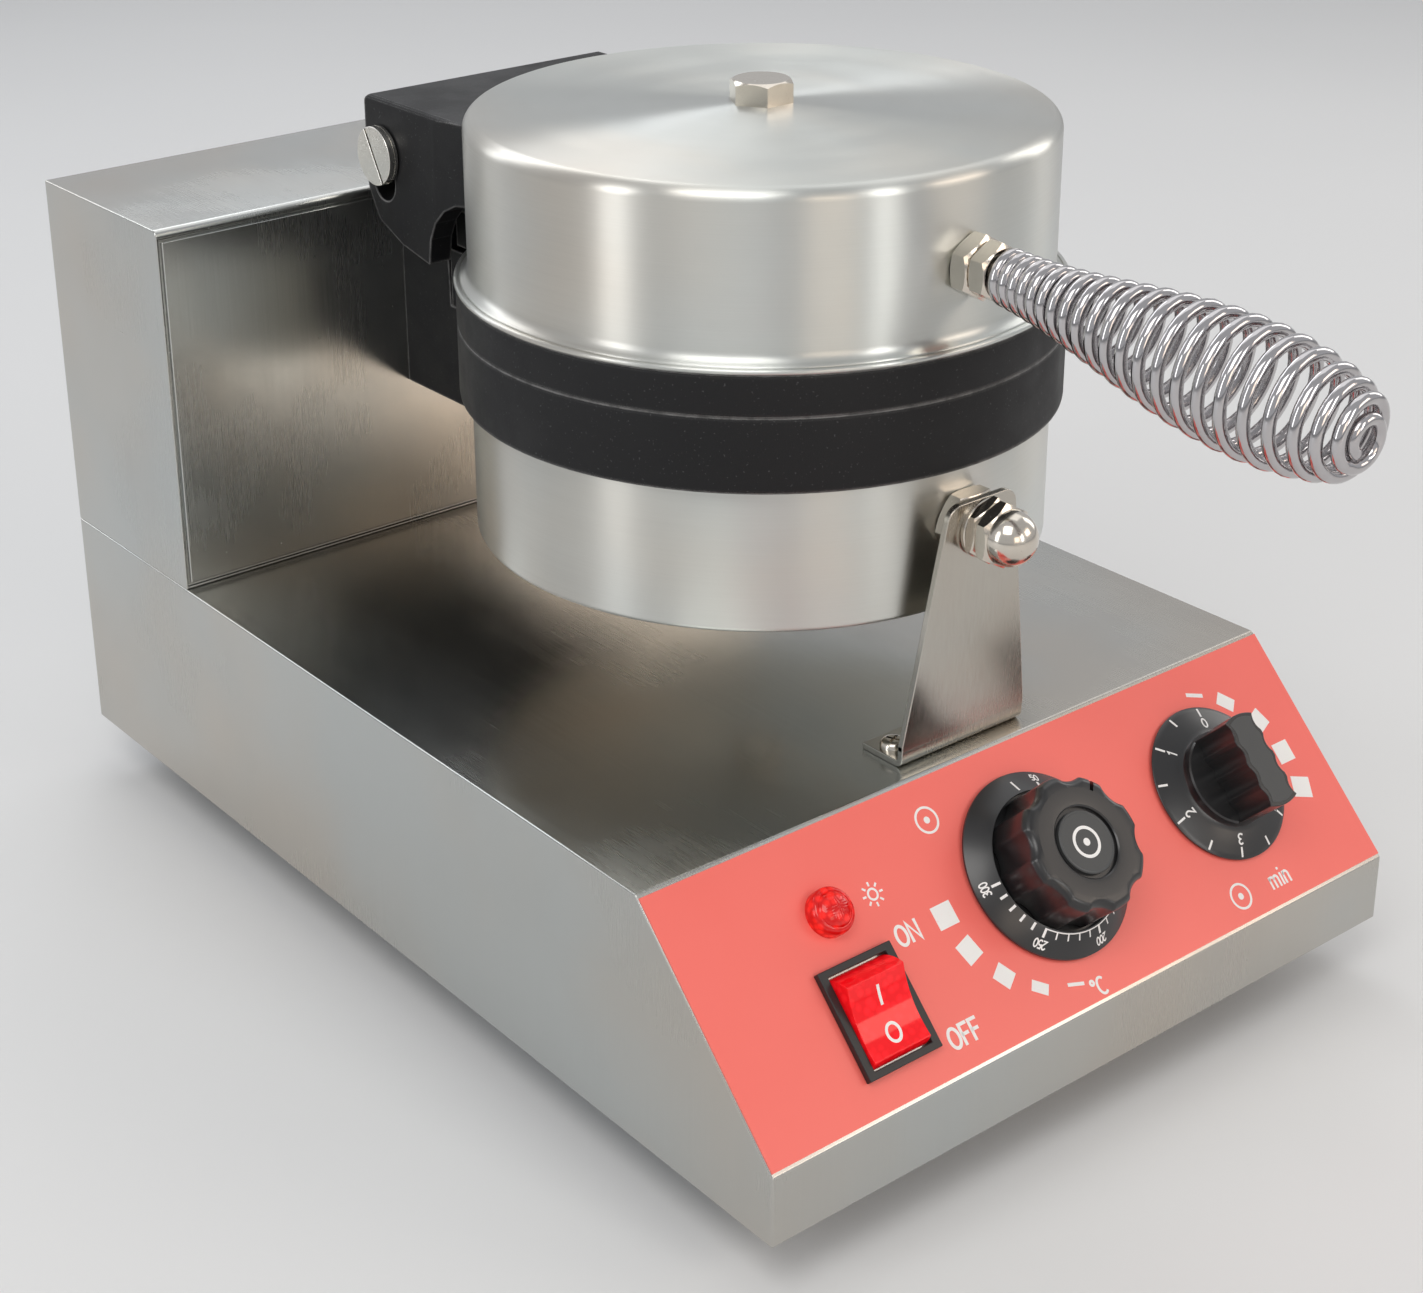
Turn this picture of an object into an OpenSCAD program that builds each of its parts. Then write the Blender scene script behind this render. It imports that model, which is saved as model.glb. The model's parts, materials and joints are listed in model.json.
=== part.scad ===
// Waffle cone maker: a counter-top baker with one hinged pair of round waffle plates, carried
// on a steel cabinet with a rear tower and a raked control panel.
// Frame: the origin lies on the counter under the middle of the machine, +X to the right of
// someone who faces the control panel, +Y to the rear and +Z up. Lengths are in millimetres.

/* [Cabinet] */
// Width of the cabinet and of the tower
cab_w = 240; // [220:1:320]
// Length of the cabinet, front lip to rear wall
cab_l = 365; // [355:1:430]
// Height of the cabinet walls
cab_h = 76; // [70:1:110]
// Height of the upright lip below the control panel
lip_h = 21; // [16:1:26]
// Rake of the control panel above the horizontal, in degrees
panel_rake = 45.6; // [42:0.1:50]
// Thickness of the folded steel sheet
sheet_t = 1.2; // [0.8:0.1:2]
// Outside radius of the folds in the sheet
fold_r = 2.4; // [2.1:0.1:4]
// Width of the flanges that the covers are screwed to
flange_w = 14; // [11:1:20]
// Gap around a cover that sits inside the walls
cover_gap = 0.3; // [0.2:0.05:0.6]
// Radius of the holes that the self-tapping screws pass
tapping_hole_r = 1.65; // [1.6:0.05:2]

/* [Feet] */
// Radius of a rubber foot at the counter
foot_r = 13; // [10:1:18]
// Radius of a rubber foot at the cabinet
foot_top_r = 15.5; // [12:0.5:20]
// Height of a rubber foot
foot_h = 18; // [14:1:30]
// Distance of a foot's axis from the side and end walls
foot_inset = 34; // [30:1:50]
// Radius of the screw head's recess in a foot
foot_recess_r = 6; // [5:0.5:8]

/* [Tower] */
// Depth of the tower, front to rear
tower_d = 76; // [66:1:100]
// Height of the tower above the cabinet
tower_h = 120; // [114:1:130]
// Thickness of the steel plate behind the tower's front wall
backing_t = 4; // [3:0.5:6]

/* [Pans] */
// Distance of the pans' centre in front of the tower
pan_setback = 142.3; // [136:0.1:155]
// Clear height between the cabinet and the lower cover
pan_lift = 42.3; // [38:0.1:48]
// Outside radius of the two steel covers
cover_r = 84.5; // [78:0.5:88]
// How far the cast rims stand out beyond the covers
rim_overhang = 3.5; // [3:0.1:5]
// Depth of the lower cover
lower_cover_h = 42.2; // [39:0.1:48]
// Height of the lower plate's rim
lower_rim_h = 21.3; // [20:0.1:26]
// Height of the upper plate's rim
upper_rim_h = 11.9; // [11:0.1:16]
// Height of the upper cover
upper_cover_h = 50.3; // [46:0.1:56]
// Thickness of the covers' sheet
cover_t = 0.8; // [0.6:0.1:1.2]
// Rise of the upper cover's top, from its edge to its middle
cover_crown = 1.8; // [0.5:0.1:4]
// Radius of the flat in the middle of the upper cover, under its bolt
crown_flat_r = 12; // [10:1:20]
// Edge radius of the upper cover
cover_edge_r = 4; // [3:0.1:6]
// Edge radius of the lower cover
lower_edge_r = 1.6; // [1.2:0.1:4]
// Thickness of the rolled lip round the upper cover
cover_lip_t = 1.6; // [1.2:0.1:2]
// Thickness of the lower plate's baking slab
slab_t = 12; // [11:0.5:14]
// Thickness of the skirt round the lower plate's underside
skirt_t = 8; // [6:0.5:10]

/* [Waffle pattern] */
// Distance between grooves
groove_pitch = 9; // [8:0.5:12]
// Width of a groove at the baking face
groove_w = 5; // [3:0.1:6]
// Depth of a groove
groove_d = 2.4; // [1:0.1:3]
// Depth of the round recess in each plate
batter_recess = 1; // [0.5:0.1:1.5]
// Width of the plain rim outside the recess
rim_land = 7; // [6:0.5:10]

/* [Heaters] */
// Radius of the heater's ring
heater_ring_r = 54; // [46:1:60]
// Radius of the sheathed heater tube
heater_r = 4; // [3:0.25:4.5]
// Spacing of the heater's two tails
heater_tail_gap = 24; // [20:1:26]

/* [Hinge] */
// Height of the hinge pin above the tower
pin_rise = 14; // [12:0.5:16]
// Distance of the hinge pin in front of the tower
pin_offset = 13.7; // [13:0.1:16]
// Radius of the hinge pin
pin_r = 5.95; // [5:0.05:6.5]
// Running clearance round the pin, on the radius
pin_clear = 0.05; // [0.01:0.01:0.1]
// Height that the lid can float on the pin
float_h = 9; // [6:0.5:10]
// Radius of the bosses round the pin
lug_r = 11.5; // [9.5:0.1:11.9]
// Thickness of a hinge lug
lug_t = 12; // [9:0.5:13]
// Width of the lower hinge arm
arm_w = 64; // [60:1:68]
// Thickness of the arm's flange and table
arm_t = 8; // [7:0.5:10]
// Depth of the arm's side walls below the lower plate's rim
arm_drop = 33; // [28:1:38]
// Gap between the arm and the lower cover
arm_gap = 1.5; // [0.8:0.1:3]
// Width of the cast hood over the hinge
hood_w = 92; // [90:1:100]
// Thickness of the hood's cheeks
cheek_t = 8; // [6:0.5:9]
// Thickness of the hood's roof
hood_roof_t = 5; // [4:0.5:5]
// Height of the hood's roof above the pin
hood_rise = 18; // [17.5:0.1:20]
// Distance of the hood's back edge behind the pin
hood_back = 9.7; // [8:0.1:11]
// Thickness of the hood's front wall
hood_wall_t = 5.2; // [4:0.1:7]
// Width of the tongues that join the plates to the hinge
tongue_w = 64; // [60:1:66]
// Radius of the pin's slotted head
pin_head_r = 9.4; // [8:0.1:12]
// Thickness of the pin's slotted head
pin_head_t = 3.4; // [3:0.1:5]

/* [Handle] */
// Height of the handle's stud above the upper rim
handle_h = 22.6; // [18:0.1:26]
// Length of the coiled grip
grip_l = 116.3; // [100:0.1:140]
// Droop of the grip below the horizontal, in degrees
grip_droop = 5.66; // [3:0.01:7]
// Diameter of the grip's wire
wire_d = 3; // [2.4:0.1:3.1]
// Turns of wire in the grip
grip_turns = 24; // [20:1:26]
// Outside radius of the grip where it starts
grip_neck_r = 7.8; // [7.6:0.1:9]
// Outside radius of the grip at its thickest
grip_bulge_r = 17; // [14:0.1:19]
// Outside radius of the grip's last turn
grip_tip_r = 8.8; // [8:0.1:11]
// Place of the thickest turn, as a share of the grip's length
grip_bulge_at = 0.72; // [0.6:0.01:0.8]
// Radius of the handle's stud
stud_r = 4; // [3.5:0.1:4]
// Thickness of the handle's nut
handle_nut_t = 9; // [6:0.5:11]
// Width across flats of the stud nuts
stud_nut_af = 17; // [14:0.5:19]

/* [Front support] */
// Thickness of the support bracket
bracket_t = 2; // [1.5:0.1:3]
// Width of the bracket's foot
bracket_foot_w = 47; // [40:1:60]
// Width of the bracket at its top
bracket_top_w = 28; // [26:1:36]
// Height of the bracket
bracket_h = 76; // [70:1:80]
// Depth of the bracket's foot
bracket_foot_d = 16; // [13:1:22]
// Height of the bracket's stud above the cabinet
bracket_stud_h = 67.5; // [62:0.5:70]
// Thickness of the bracket's nut
bracket_nut_t = 8; // [5:0.5:9]
// Thickness of the thin nut behind the bracket
back_nut_t = 2; // [1.5:0.1:4]

/* [Switch and lamp] */
// Place of the switch from the middle of the panel
switch_x = -70.1; // [-90:0.1:-60]
// Place of the switch up the panel
switch_v = 24.8; // [20:0.1:30]
// Width of the switch's bezel
bezel_w = 25.4; // [24:0.1:28]
// Length of the switch's bezel
bezel_l = 30.1; // [29.5:0.1:34]
// Height of the switch's bezel
bezel_t = 2.2; // [1.5:0.1:3]
// Half length of the rocker, on its arc
rocker_r = 12.8; // [11:0.1:13]
// Width of the rocker
rocker_w = 19.6; // [16:0.1:20]
// Rise of the rocker's ends above its middle
rocker_dish = 2.4; // [1:0.1:3]
// Tilt of the rocker to each side, in degrees
rocker_tilt = 11; // [8:0.5:13]
// Height of the lamp up the panel
lamp_v = 52.8; // [50:0.1:58]
// Radius of the lamp's lens
lamp_r = 6.6; // [5.5:0.1:8]

/* [Knobs] */
// Place of the thermostat from the middle of the panel
temp_x = 2.4; // [-10:0.1:10]
// Place of both shafts up the panel
knob_v = 40; // [36:0.1:42]
// Place of the timer from the middle of the panel
timer_x = 75; // [66:0.1:85]
// Height of both knobs above the panel
knob_h = 21.5; // [19:0.1:25]
// Gap between a knob and the panel
knob_gap = 0.7; // [0.4:0.1:1.2]
// Radius of the thermostat knob's skirt
temp_skirt_r = 27; // [25:0.5:30]
// Radius of the thermostat knob's grip
temp_grip_r = 19.5; // [16:0.5:20]
// Number of finger scallops in the thermostat knob
temp_scallops = 8; // [6:1:10]
// Radius of the insert in the thermostat knob
insert_r = 9; // [7:0.5:11]
// Radius of the timer knob's skirt
timer_skirt_r = 23.5; // [21:0.5:26]
// Radius of the timer knob's hub
timer_hub_r = 14.3; // [13:0.1:16]
// Width of the timer knob's bar
timer_bar_w = 11.6; // [9:0.1:13]
// Radius of the two control shafts
shaft_r = 3; // [2.5:0.1:3.5]
// Clearance round the control shafts, on the radius
shaft_clear = 0.05; // [0.01:0.01:0.1]

/* [Hidden] */
$fn = 64;

// Heights above the counter. Distances along Y are measured from the rear wall.
cab_top = foot_h + cab_h;
tower_top = cab_top + tower_h;
lower_cover_z = cab_top + pan_lift;
lower_rim_z = lower_cover_z + lower_cover_h;
joint_z = lower_rim_z + lower_rim_h;
upper_rim_top = joint_z + upper_rim_h;
upper_cover_top = upper_rim_top + upper_cover_h;
rim_r = cover_r + rim_overhang;
lip_r = rim_r + 0.7;
cove_r = lip_r - cover_lip_t / 2 - cover_r;
pan_y = -(tower_d + pan_setback);
pattern_r = rim_r - rim_land;
slab_z = joint_z - slab_t;
pin_y = -(tower_d + pin_offset);
pin_z = tower_top + pin_rise;
handle_z = upper_rim_top + handle_h;
eps = 0.01;

// Control panel
panel_run = (cab_h - lip_h) / tan(panel_rake);
panel_l = (cab_h - lip_h) / sin(panel_rake);
overlay_t = 0.4;
overlay_margin = 1.2;

// Standard fasteners: across flats and head height
m8_af = 13;
m8_nut_t = 6.5;
m8_head = 5.3;
m8_r = 4;
m8_hole_r = 4.1;
m10_af = 16.5;
m10_head = 6.4;
m10_r = 5;
m10_hole_r = 5.1;
screw_clear = 0.1;
pan_head_r = 3.6;
pan_head_t = 2;
tapping_r = tapping_hole_r - screw_clear;

// Grip, from the nut forward
grip_gap = 1.6;
grip_y = pan_y - cover_r - handle_nut_t - grip_gap;
wire_r = wire_d / 2;
neck_pitch = wire_d + 0.2;
tip_pitch = wire_d + 0.9;
neck_turns = 6;
tip_turns = 4;
body_turns = grip_turns - neck_turns - tip_turns;
body_pitch = (grip_l - neck_turns * neck_pitch - tip_turns * tip_pitch) / body_turns;
wire_sides = 7;
bracket_stud_z = cab_top + bracket_stud_h;
bush_r = shaft_r + 2;
lamp_neck_r = 5;
body_cut_w = 22.4;
body_cut_l = 28;
steps_per_turn = 18;

// Cable gland
gland_inset = 38;
gland_x = cab_w / 2 - gland_inset;
gland_z = foot_h + 34;
gland_r = 10;
gland_bore_r = 4.5;
gland_out = 22;

// The machine's whole length sets where the rear wall lies.
grip_reach = (grip_l + wire_r) * cos(grip_droop);
front_reach = -grip_y + grip_reach;
rear_y = (front_reach - gland_out) / 2;

// ---- shared shapes ----

// Unit vector
function unit(v) = v / norm(v);

// Corner of an outline replaced by an arc of radius r
function corner_arc(prev, p, next, r, n) =
    let (a = unit(prev - p), b = unit(next - p), half = acos(a * b) / 2,
         c = p + unit(a + b) * r / sin(half),
         t1 = p + a * r / tan(half) - c, t2 = p + b * r / tan(half) - c,
         a1 = atan2(t1[1], t1[0]), turn = atan2(t2[1], t2[0]) - a1,
         sweep = turn > 180 ? turn - 360 : turn < -180 ? turn + 360 : turn)
    [for (i = [0:n]) c + r * [cos(a1 + sweep * i / n), sin(a1 + sweep * i / n)]];

// Outline with rounded corners: one radius for each point, 0 for a sharp corner
function rounded(pts, radii, n = 6) =
    let (k = len(pts))
    [for (i = [0:k - 1])
        each radii[i] > 0
            ? corner_arc(pts[(i + k - 1) % k], pts[i], pts[(i + 1) % k], radii[i], n)
            : [pts[i]]];

// Draws its children in the machine's frame, with Y counted from the rear wall
module from_rear() { translate([0, rear_y, 0]) children(); }

// Draws its children round the pans' axis
module at_pan(z = 0) { from_rear() translate([0, pan_y, z]) children(); }

// Draws its children on the control panel: X across, Y up the slope, Z outward
module on_panel(x = 0, v = 0, lift = 0) {
    from_rear() translate([x, -cab_l, foot_h + lip_h]) rotate([panel_rake, 0, 0])
        translate([0, v, lift]) children();
}

// A (y, z) outline extruded across the machine, centred on x
module across(w, x = 0) {
    translate([x - w / 2, 0, 0]) rotate([90, 0, 90]) linear_extrude(w) children();
}

// Box from its lowest to its highest corner
module block(lo, hi) { translate(lo) cube(hi - lo); }

// Rod along X, centred on x
module rod_x(r, l, x = 0) { translate([x - l / 2, 0, 0]) rotate([0, 90, 0]) cylinder(r = r, h = l); }

// Hexagonal prism, flats w apart
module hex(af, h) { cylinder(r = af / sqrt(3), h = h, $fn = 6); }

// Hexagon bolt, head down at z = 0, shank upward
module hex_bolt(af, head, r, l) {
    translate([0, 0, -head]) hex(af, head);
    cylinder(r = r, h = l);
}

// Nut with a bore that clears its stud
module nut(af, h, bore_r) {
    difference() {
        hex(af, h);
        translate([0, 0, -1]) cylinder(r = bore_r, h = h + 2);
    }
}

// Pan-head screw with a cross recess, head below z = 0, shank upward
module pan_screw(r, l, head_r = pan_head_r, head_t = pan_head_t) {
    difference() {
        translate([0, 0, -head_t]) cylinder(r1 = head_r - 0.6, r2 = head_r, h = head_t);
        translate([0, 0, -head_t - 1]) {
            block([-head_r * 0.55, -0.4, 0], [head_r * 0.55, 0.4, head_t * 0.6 + 1]);
            block([-0.4, -head_r * 0.55, 0], [0.4, head_r * 0.55, head_t * 0.6 + 1]);
        }
    }
    translate([0, 0, -eps]) cylinder(r = r, h = l + eps);
}

// Round vent slot: a bar with round ends along Y, cut through h
module slot_cut(w, l, h) {
    translate([-w / 2, -(l - w) / 2, 0]) cube([w, l - w, h]);
    for (s = [-1, 1]) translate([0, s * (l - w) / 2, 0]) cylinder(r = w / 2, h = h);
}

// ---- cabinet ----

function cab_outline(inset, low) =
    let (shift = inset * tan(panel_rake / 2))
    [[-inset, low], [-inset, cab_h - inset], [-(cab_l - panel_run) + shift, cab_h - inset],
     [-cab_l + inset, lip_h - inset * tan((90 - panel_rake) / 2)], [-cab_l + inset, low]];

bottom_screw_spots = [for (x = [-1, 1], y = [0.08, 0.5, 0.92])
    [x * (cab_w / 2 - sheet_t - flange_w / 2), -cab_l * y]];
foot_spots = [for (x = [-1, 1], y = [-foot_inset, -(cab_l - foot_inset)])
    [x * (cab_w / 2 - foot_inset), y]];
bracket_y = pan_y - cover_r - back_nut_t;
bracket_screw_spots = [for (x = [-1, 1])
    [x * bracket_foot_w * 0.3, bracket_y + (bracket_foot_d - bracket_t) * 0.5]];

module cabinet_shell() {
    color("lightsteelblue") difference() {
        from_rear() translate([0, 0, foot_h]) difference() {
            across(cab_w) polygon(rounded(cab_outline(0, 0), [0, fold_r, fold_r, fold_r, 0]));
            across(cab_w - 2 * sheet_t)
                polygon(rounded(cab_outline(sheet_t, 2 * sheet_t),
                    [0, fold_r - sheet_t, fold_r - sheet_t, fold_r - sheet_t, 0]));
            block([-cab_w / 2 + sheet_t, -cab_l + sheet_t, -1],
                  [cab_w / 2 - sheet_t, -sheet_t, sheet_t]);
            block([-cab_w / 2 + sheet_t + flange_w, -cab_l + sheet_t + flange_w, 0],
                  [cab_w / 2 - sheet_t - flange_w, -sheet_t - flange_w, 3 * sheet_t]);
            for (p = bottom_screw_spots)
                translate([p[0], p[1], -1]) cylinder(r = tapping_hole_r, h = 3 * sheet_t + 1);
            // Way for the wiring into the tower
            translate([0, -tower_d / 2, cab_h - 2 * sheet_t]) cylinder(r = 18, h = 4 * sheet_t);
            // Hole for the cable gland
            translate([gland_x, -2 * sheet_t, gland_z - foot_h]) rotate([-90, 0, 0])
                cylinder(r = gland_r + screw_clear, h = 4 * sheet_t);
            for (p = bracket_screw_spots)
                translate([p[0], p[1], cab_h - 2 * sheet_t])
                    cylinder(r = tapping_hole_r, h = 4 * sheet_t);
        }
        panel_holes();
    }
}

// Holes that the controls pass, through the panel and its overlay
module panel_holes() {
    on_panel(switch_x, switch_v, -3)
        block([-body_cut_w / 2, -body_cut_l / 2, 0], [body_cut_w / 2, body_cut_l / 2, 6]);
    on_panel(switch_x, lamp_v, -3) cylinder(r = lamp_neck_r + screw_clear, h = 6);
    for (x = [temp_x, timer_x]) on_panel(x, knob_v, -3) cylinder(r = bush_r + screw_clear, h = 6);
}

module control_overlay() {
    color("tomato") difference() {
        on_panel(0, overlay_margin, 0)
            block([-cab_w / 2 + 0.4, 0, 0], [cab_w / 2 - 0.4, panel_l - 2 * overlay_margin, overlay_t]);
        panel_holes();
    }
}

plate_in = sheet_t + cover_gap;
module bottom_plate() {
    slots = 9;
    color("silver") from_rear() translate([0, 0, foot_h]) difference() {
        block([-cab_w / 2 + plate_in, -cab_l + plate_in, 0], [cab_w / 2 - plate_in, -plate_in, sheet_t]);
        for (p = bottom_screw_spots) translate([p[0], p[1], -1]) cylinder(r = tapping_hole_r, h = 4);
        for (p = foot_spots) translate([p[0], p[1], -1]) cylinder(r = foot_hole_r, h = 4);
        for (x = [-1, 1], i = [0:slots - 1])
            translate([x * cab_w * 0.18, -cab_l * 0.5 + (i - (slots - 1) / 2) * 14, -1])
                rotate(90) slot_cut(4, 50, 4);
    }
}

module bottom_screws() {
    color("gainsboro") from_rear() for (p = bottom_screw_spots)
        translate([p[0], p[1], foot_h]) pan_screw(tapping_r, 2 * sheet_t + 4);
}

foot_hole_r = 2.6;
foot_floor = 6;
module rubber_feet() {
    color("dimgray") from_rear() for (p = foot_spots) translate([p[0], p[1], 0]) difference() {
        cylinder(r1 = foot_r, r2 = foot_top_r, h = foot_h);
        translate([0, 0, -1]) cylinder(r = foot_recess_r, h = foot_h - foot_floor + 1);
        translate([0, 0, -1]) cylinder(r = foot_hole_r, h = foot_h + 2);
    }
}

foot_nut_t = 4;
module foot_screws() {
    color("gainsboro") from_rear() for (p = foot_spots)
        translate([p[0], p[1], foot_h - foot_floor])
            pan_screw(foot_hole_r - screw_clear, foot_floor + sheet_t + foot_nut_t + 1, 4.8, 3);
}

module foot_nuts() {
    color("gainsboro") from_rear() for (p = foot_spots)
        translate([p[0], p[1], foot_h + sheet_t]) nut(8, foot_nut_t, foot_hole_r);
}

// ---- tower ----

tower_screw_spots = [for (x = [-1, 0, 1], z = [0.12, 1])
    if (z == 1 || x != 0)
        [x * (cab_w / 2 - sheet_t - flange_w / 2), z == 1 ? tower_h - sheet_t - flange_w / 2 : tower_h * z]];

function tower_outline(inset) = [[-inset, 0], [-inset, tower_h - inset],
    [-tower_d + inset, tower_h - inset], [-tower_d + inset, 0]];

module tower_shell() {
    color("lightsteelblue") from_rear() translate([0, 0, cab_top]) difference() {
        across(cab_w) polygon(rounded(tower_outline(0), [0, 0, fold_r, 0]));
        block([-cab_w / 2 + sheet_t, -tower_d + sheet_t, -1],
              [cab_w / 2 - sheet_t, -2 * sheet_t, tower_h - sheet_t]);
        block([-cab_w / 2 + sheet_t + flange_w, -3 * sheet_t, -1],
              [cab_w / 2 - sheet_t - flange_w, 1, tower_h - sheet_t - flange_w]);
        block([-cab_w / 2 + sheet_t, -sheet_t, -1], [cab_w / 2 - sheet_t, 1, tower_h - sheet_t]);
        for (p = tower_screw_spots)
            translate([p[0], 1, p[1]]) rotate([90, 0, 0]) cylinder(r = tapping_hole_r, h = 4 * sheet_t + 1);
        for (p = arm_bolt_spots) translate([p[0], -tower_d - 1, p[1] - cab_top]) rotate([-90, 0, 0])
            cylinder(r = m8_hole_r, h = sheet_t + 2);
    }
}

module tower_back_cover() {
    slots = 11;
    color("silver") from_rear() translate([0, 0, cab_top]) difference() {
        block([-cab_w / 2 + plate_in, -sheet_t, 0], [cab_w / 2 - plate_in, 0, tower_h - plate_in]);
        for (p = tower_screw_spots)
            translate([p[0], 1, p[1]]) rotate([90, 0, 0]) cylinder(r = tapping_hole_r, h = 4);
        for (i = [0:slots - 1])
            translate([(i - (slots - 1) / 2) * 12, 1, tower_h * 0.55]) rotate([90, 0, 0])
                slot_cut(4, 40, 4);
    }
}

module tower_screws() {
    color("gainsboro") from_rear() for (p = tower_screw_spots)
        translate([p[0], 0, cab_top + p[1]]) rotate([90, 0, 0]) pan_screw(tapping_r, 2 * sheet_t + 4);
}

backing_w = 84;
backing_foot = 36;
backing_head = 6;
module tower_backing_plate() {
    back_y = -tower_d + sheet_t;
    color("gray") from_rear() difference() {
        block([-backing_w / 2, back_y, cab_top + backing_foot],
              [backing_w / 2, back_y + backing_t, tower_top - backing_head]);
        for (p = arm_bolt_spots) translate([p[0], back_y - 1, p[1]]) rotate([-90, 0, 0])
            cylinder(r = m8_hole_r, h = backing_t + 2);
    }
}

// ---- lower hinge arm ----

arm_foot_z = lower_rim_z - arm_drop;
arm_head_z = tower_top - 2;
arm_wall_t = lug_t;
tongue_back_y = pan_y + rim_r + 26;
arm_bolt_spots = [for (x = [-1, 1], z = [arm_foot_z + 10, tower_top - 14]) [x * 10.5, z]];
plate_bolt_spots = [for (x = [-1, 1]) [x * 10.5, tongue_back_y - 12]];

// Cast arm: a flange on the tower, two deep side walls that run forward to the lower cover,
// a table between them for the lower plate's tongue, and a lug on each wall for the pin
module lower_hinge_arm() {
    front_y = -tower_d - arm_t;
    lug_root_y = tongue_back_y + 1;
    nose_y = pan_y + cover_r * 0.9;
    color("#2b2b2d") from_rear() difference() {
        union() {
            across(arm_w) polygon(rounded([[-tower_d, arm_foot_z], [-tower_d, arm_head_z],
                [front_y, arm_head_z], [front_y, arm_foot_z]], [0, 0, 3, 0]));
            block([-arm_w / 2, nose_y, lower_rim_z - arm_t], [arm_w / 2, front_y + 1, lower_rim_z]);
            for (s = [-1, 1]) across(arm_wall_t, s * (arm_w - arm_wall_t) / 2)
                polygon(rounded([[front_y + 1, arm_foot_z], [front_y + 1, lower_rim_z], [nose_y, lower_rim_z],
                    [nose_y, arm_foot_z]], [0, 0, 0, 3]));
            for (s = [-1, 1]) across(lug_t, s * (arm_w - lug_t) / 2) {
                translate([pin_y, pin_z]) circle(lug_r);
                polygon([[pin_y - lug_r, pin_z], [lug_root_y, lower_rim_z + 6], [lug_root_y, lower_rim_z - 1],
                    [front_y + 1, lower_rim_z - 1], [front_y + 1, pin_z - 20],
                    [pin_y + lug_r * 0.64, pin_z - lug_r * 0.77]]);
            }
        }
        // Front ends follow the lower cover
        translate([0, pan_y, 0]) cylinder(r = cover_r + arm_gap, h = lower_rim_z + 1, $fn = 96);
        translate([0, pin_y, pin_z]) rod_x(pin_r + pin_clear, arm_w + 4);
        for (p = arm_bolt_spots) translate([p[0], front_y - 1, p[1]]) rotate([-90, 0, 0])
            cylinder(r = m8_hole_r, h = arm_t + 2);
        for (p = plate_bolt_spots) translate([p[0], p[1], lower_rim_z - arm_t - 1])
            cylinder(r = m8_hole_r, h = arm_t + 2);
    }
}

module arm_bolts() {
    color("gainsboro") from_rear() for (p = arm_bolt_spots)
        translate([p[0], -tower_d - arm_t, p[1]]) rotate([-90, 0, 0])
            hex_bolt(m8_af, m8_head, m8_r, arm_t + sheet_t + backing_t + 8);
}

module arm_nuts() {
    color("gainsboro") from_rear() for (p = arm_bolt_spots)
        translate([p[0], -tower_d + sheet_t + backing_t, p[1]]) rotate([-90, 0, 0])
            nut(m8_af, m8_nut_t, m8_hole_r);
}

module hinge_pin() {
    color("silver") from_rear() translate([0, pin_y, pin_z]) difference() {
        union() {
            rod_x(pin_r, hood_w + 2 * cover_gap + 9, 4.5);
            rod_x(pin_head_r, pin_head_t, -hood_w / 2 - cover_gap - pin_head_t / 2);
        }
        translate([-hood_w / 2 - cover_gap - pin_head_t - 1, -1.2, -pin_head_r - 1])
            cube([2.4, 2.4, 2 * pin_head_r + 2]);
    }
}

module hinge_pin_nut() {
    color("silver") from_rear() translate([hood_w / 2 + cover_gap, pin_y, pin_z]) rotate([0, 90, 0])
        nut(19, 7, pin_r + pin_clear);
}

spacer_gap = 0.2;
module hinge_spacers() {
    l = hood_w / 2 - cheek_t - arm_w / 2 - 2 * spacer_gap;
    color("silver") from_rear() for (s = [-1, 1])
        translate([0, pin_y, pin_z]) difference() {
            rod_x(pin_r + 3, l, s * (arm_w / 2 + spacer_gap + l / 2));
            rod_x(pin_r + pin_clear, hood_w);
        }
}

// ---- plates ----

// Square grid of V grooves, cut downward from z = 0 in a disc of radius r
module waffle_grooves(r) {
    n = floor((r - groove_w / 2) / groove_pitch);
    top = batter_recess + 1;
    w = groove_w / 2 * (groove_d + top) / groove_d;
    for (a = [45, -45], i = [-n:n]) rotate(a)
        let (d = i * groove_pitch, half = sqrt(r * r - pow(abs(d) + groove_w / 2, 2)))
            translate([d, half, 0]) rotate([90, 0, 0]) linear_extrude(2 * half)
                polygon([[0, -groove_d], [w, top], [-w, top]]);
}

// Heater: a ring of sheathed tube of radius r with two tails to the rear
module heater_tube(r, extra = 0) {
    gap_angle = asin(heater_tail_gap / 2 / heater_ring_r);
    rotate(90 + gap_angle) rotate_extrude(angle = 360 - 2 * gap_angle, $fn = 180)
        translate([heater_ring_r, 0]) circle(r);
    for (s = [-1, 1]) translate([s * heater_tail_gap / 2, heater_ring_r * cos(gap_angle) - heater_r, 0])
        rotate([-90, 0, 0]) {
            cylinder(r = r, h = heater_tail_l + extra);
            cylinder(r = heater_pin_r, h = heater_tail_l + heater_pin_l);
        }
}

heater_sink = 1.6;
heater_tail_l = 12;
heater_pin_l = 8;
heater_pin_r = 1.6;
heater_clear = 0.06;
cover_bolt_l = 22;

// Groove that a heater lies in, its tails included
module heater_groove() { heater_tube(heater_r + heater_clear, 1); }

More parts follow.
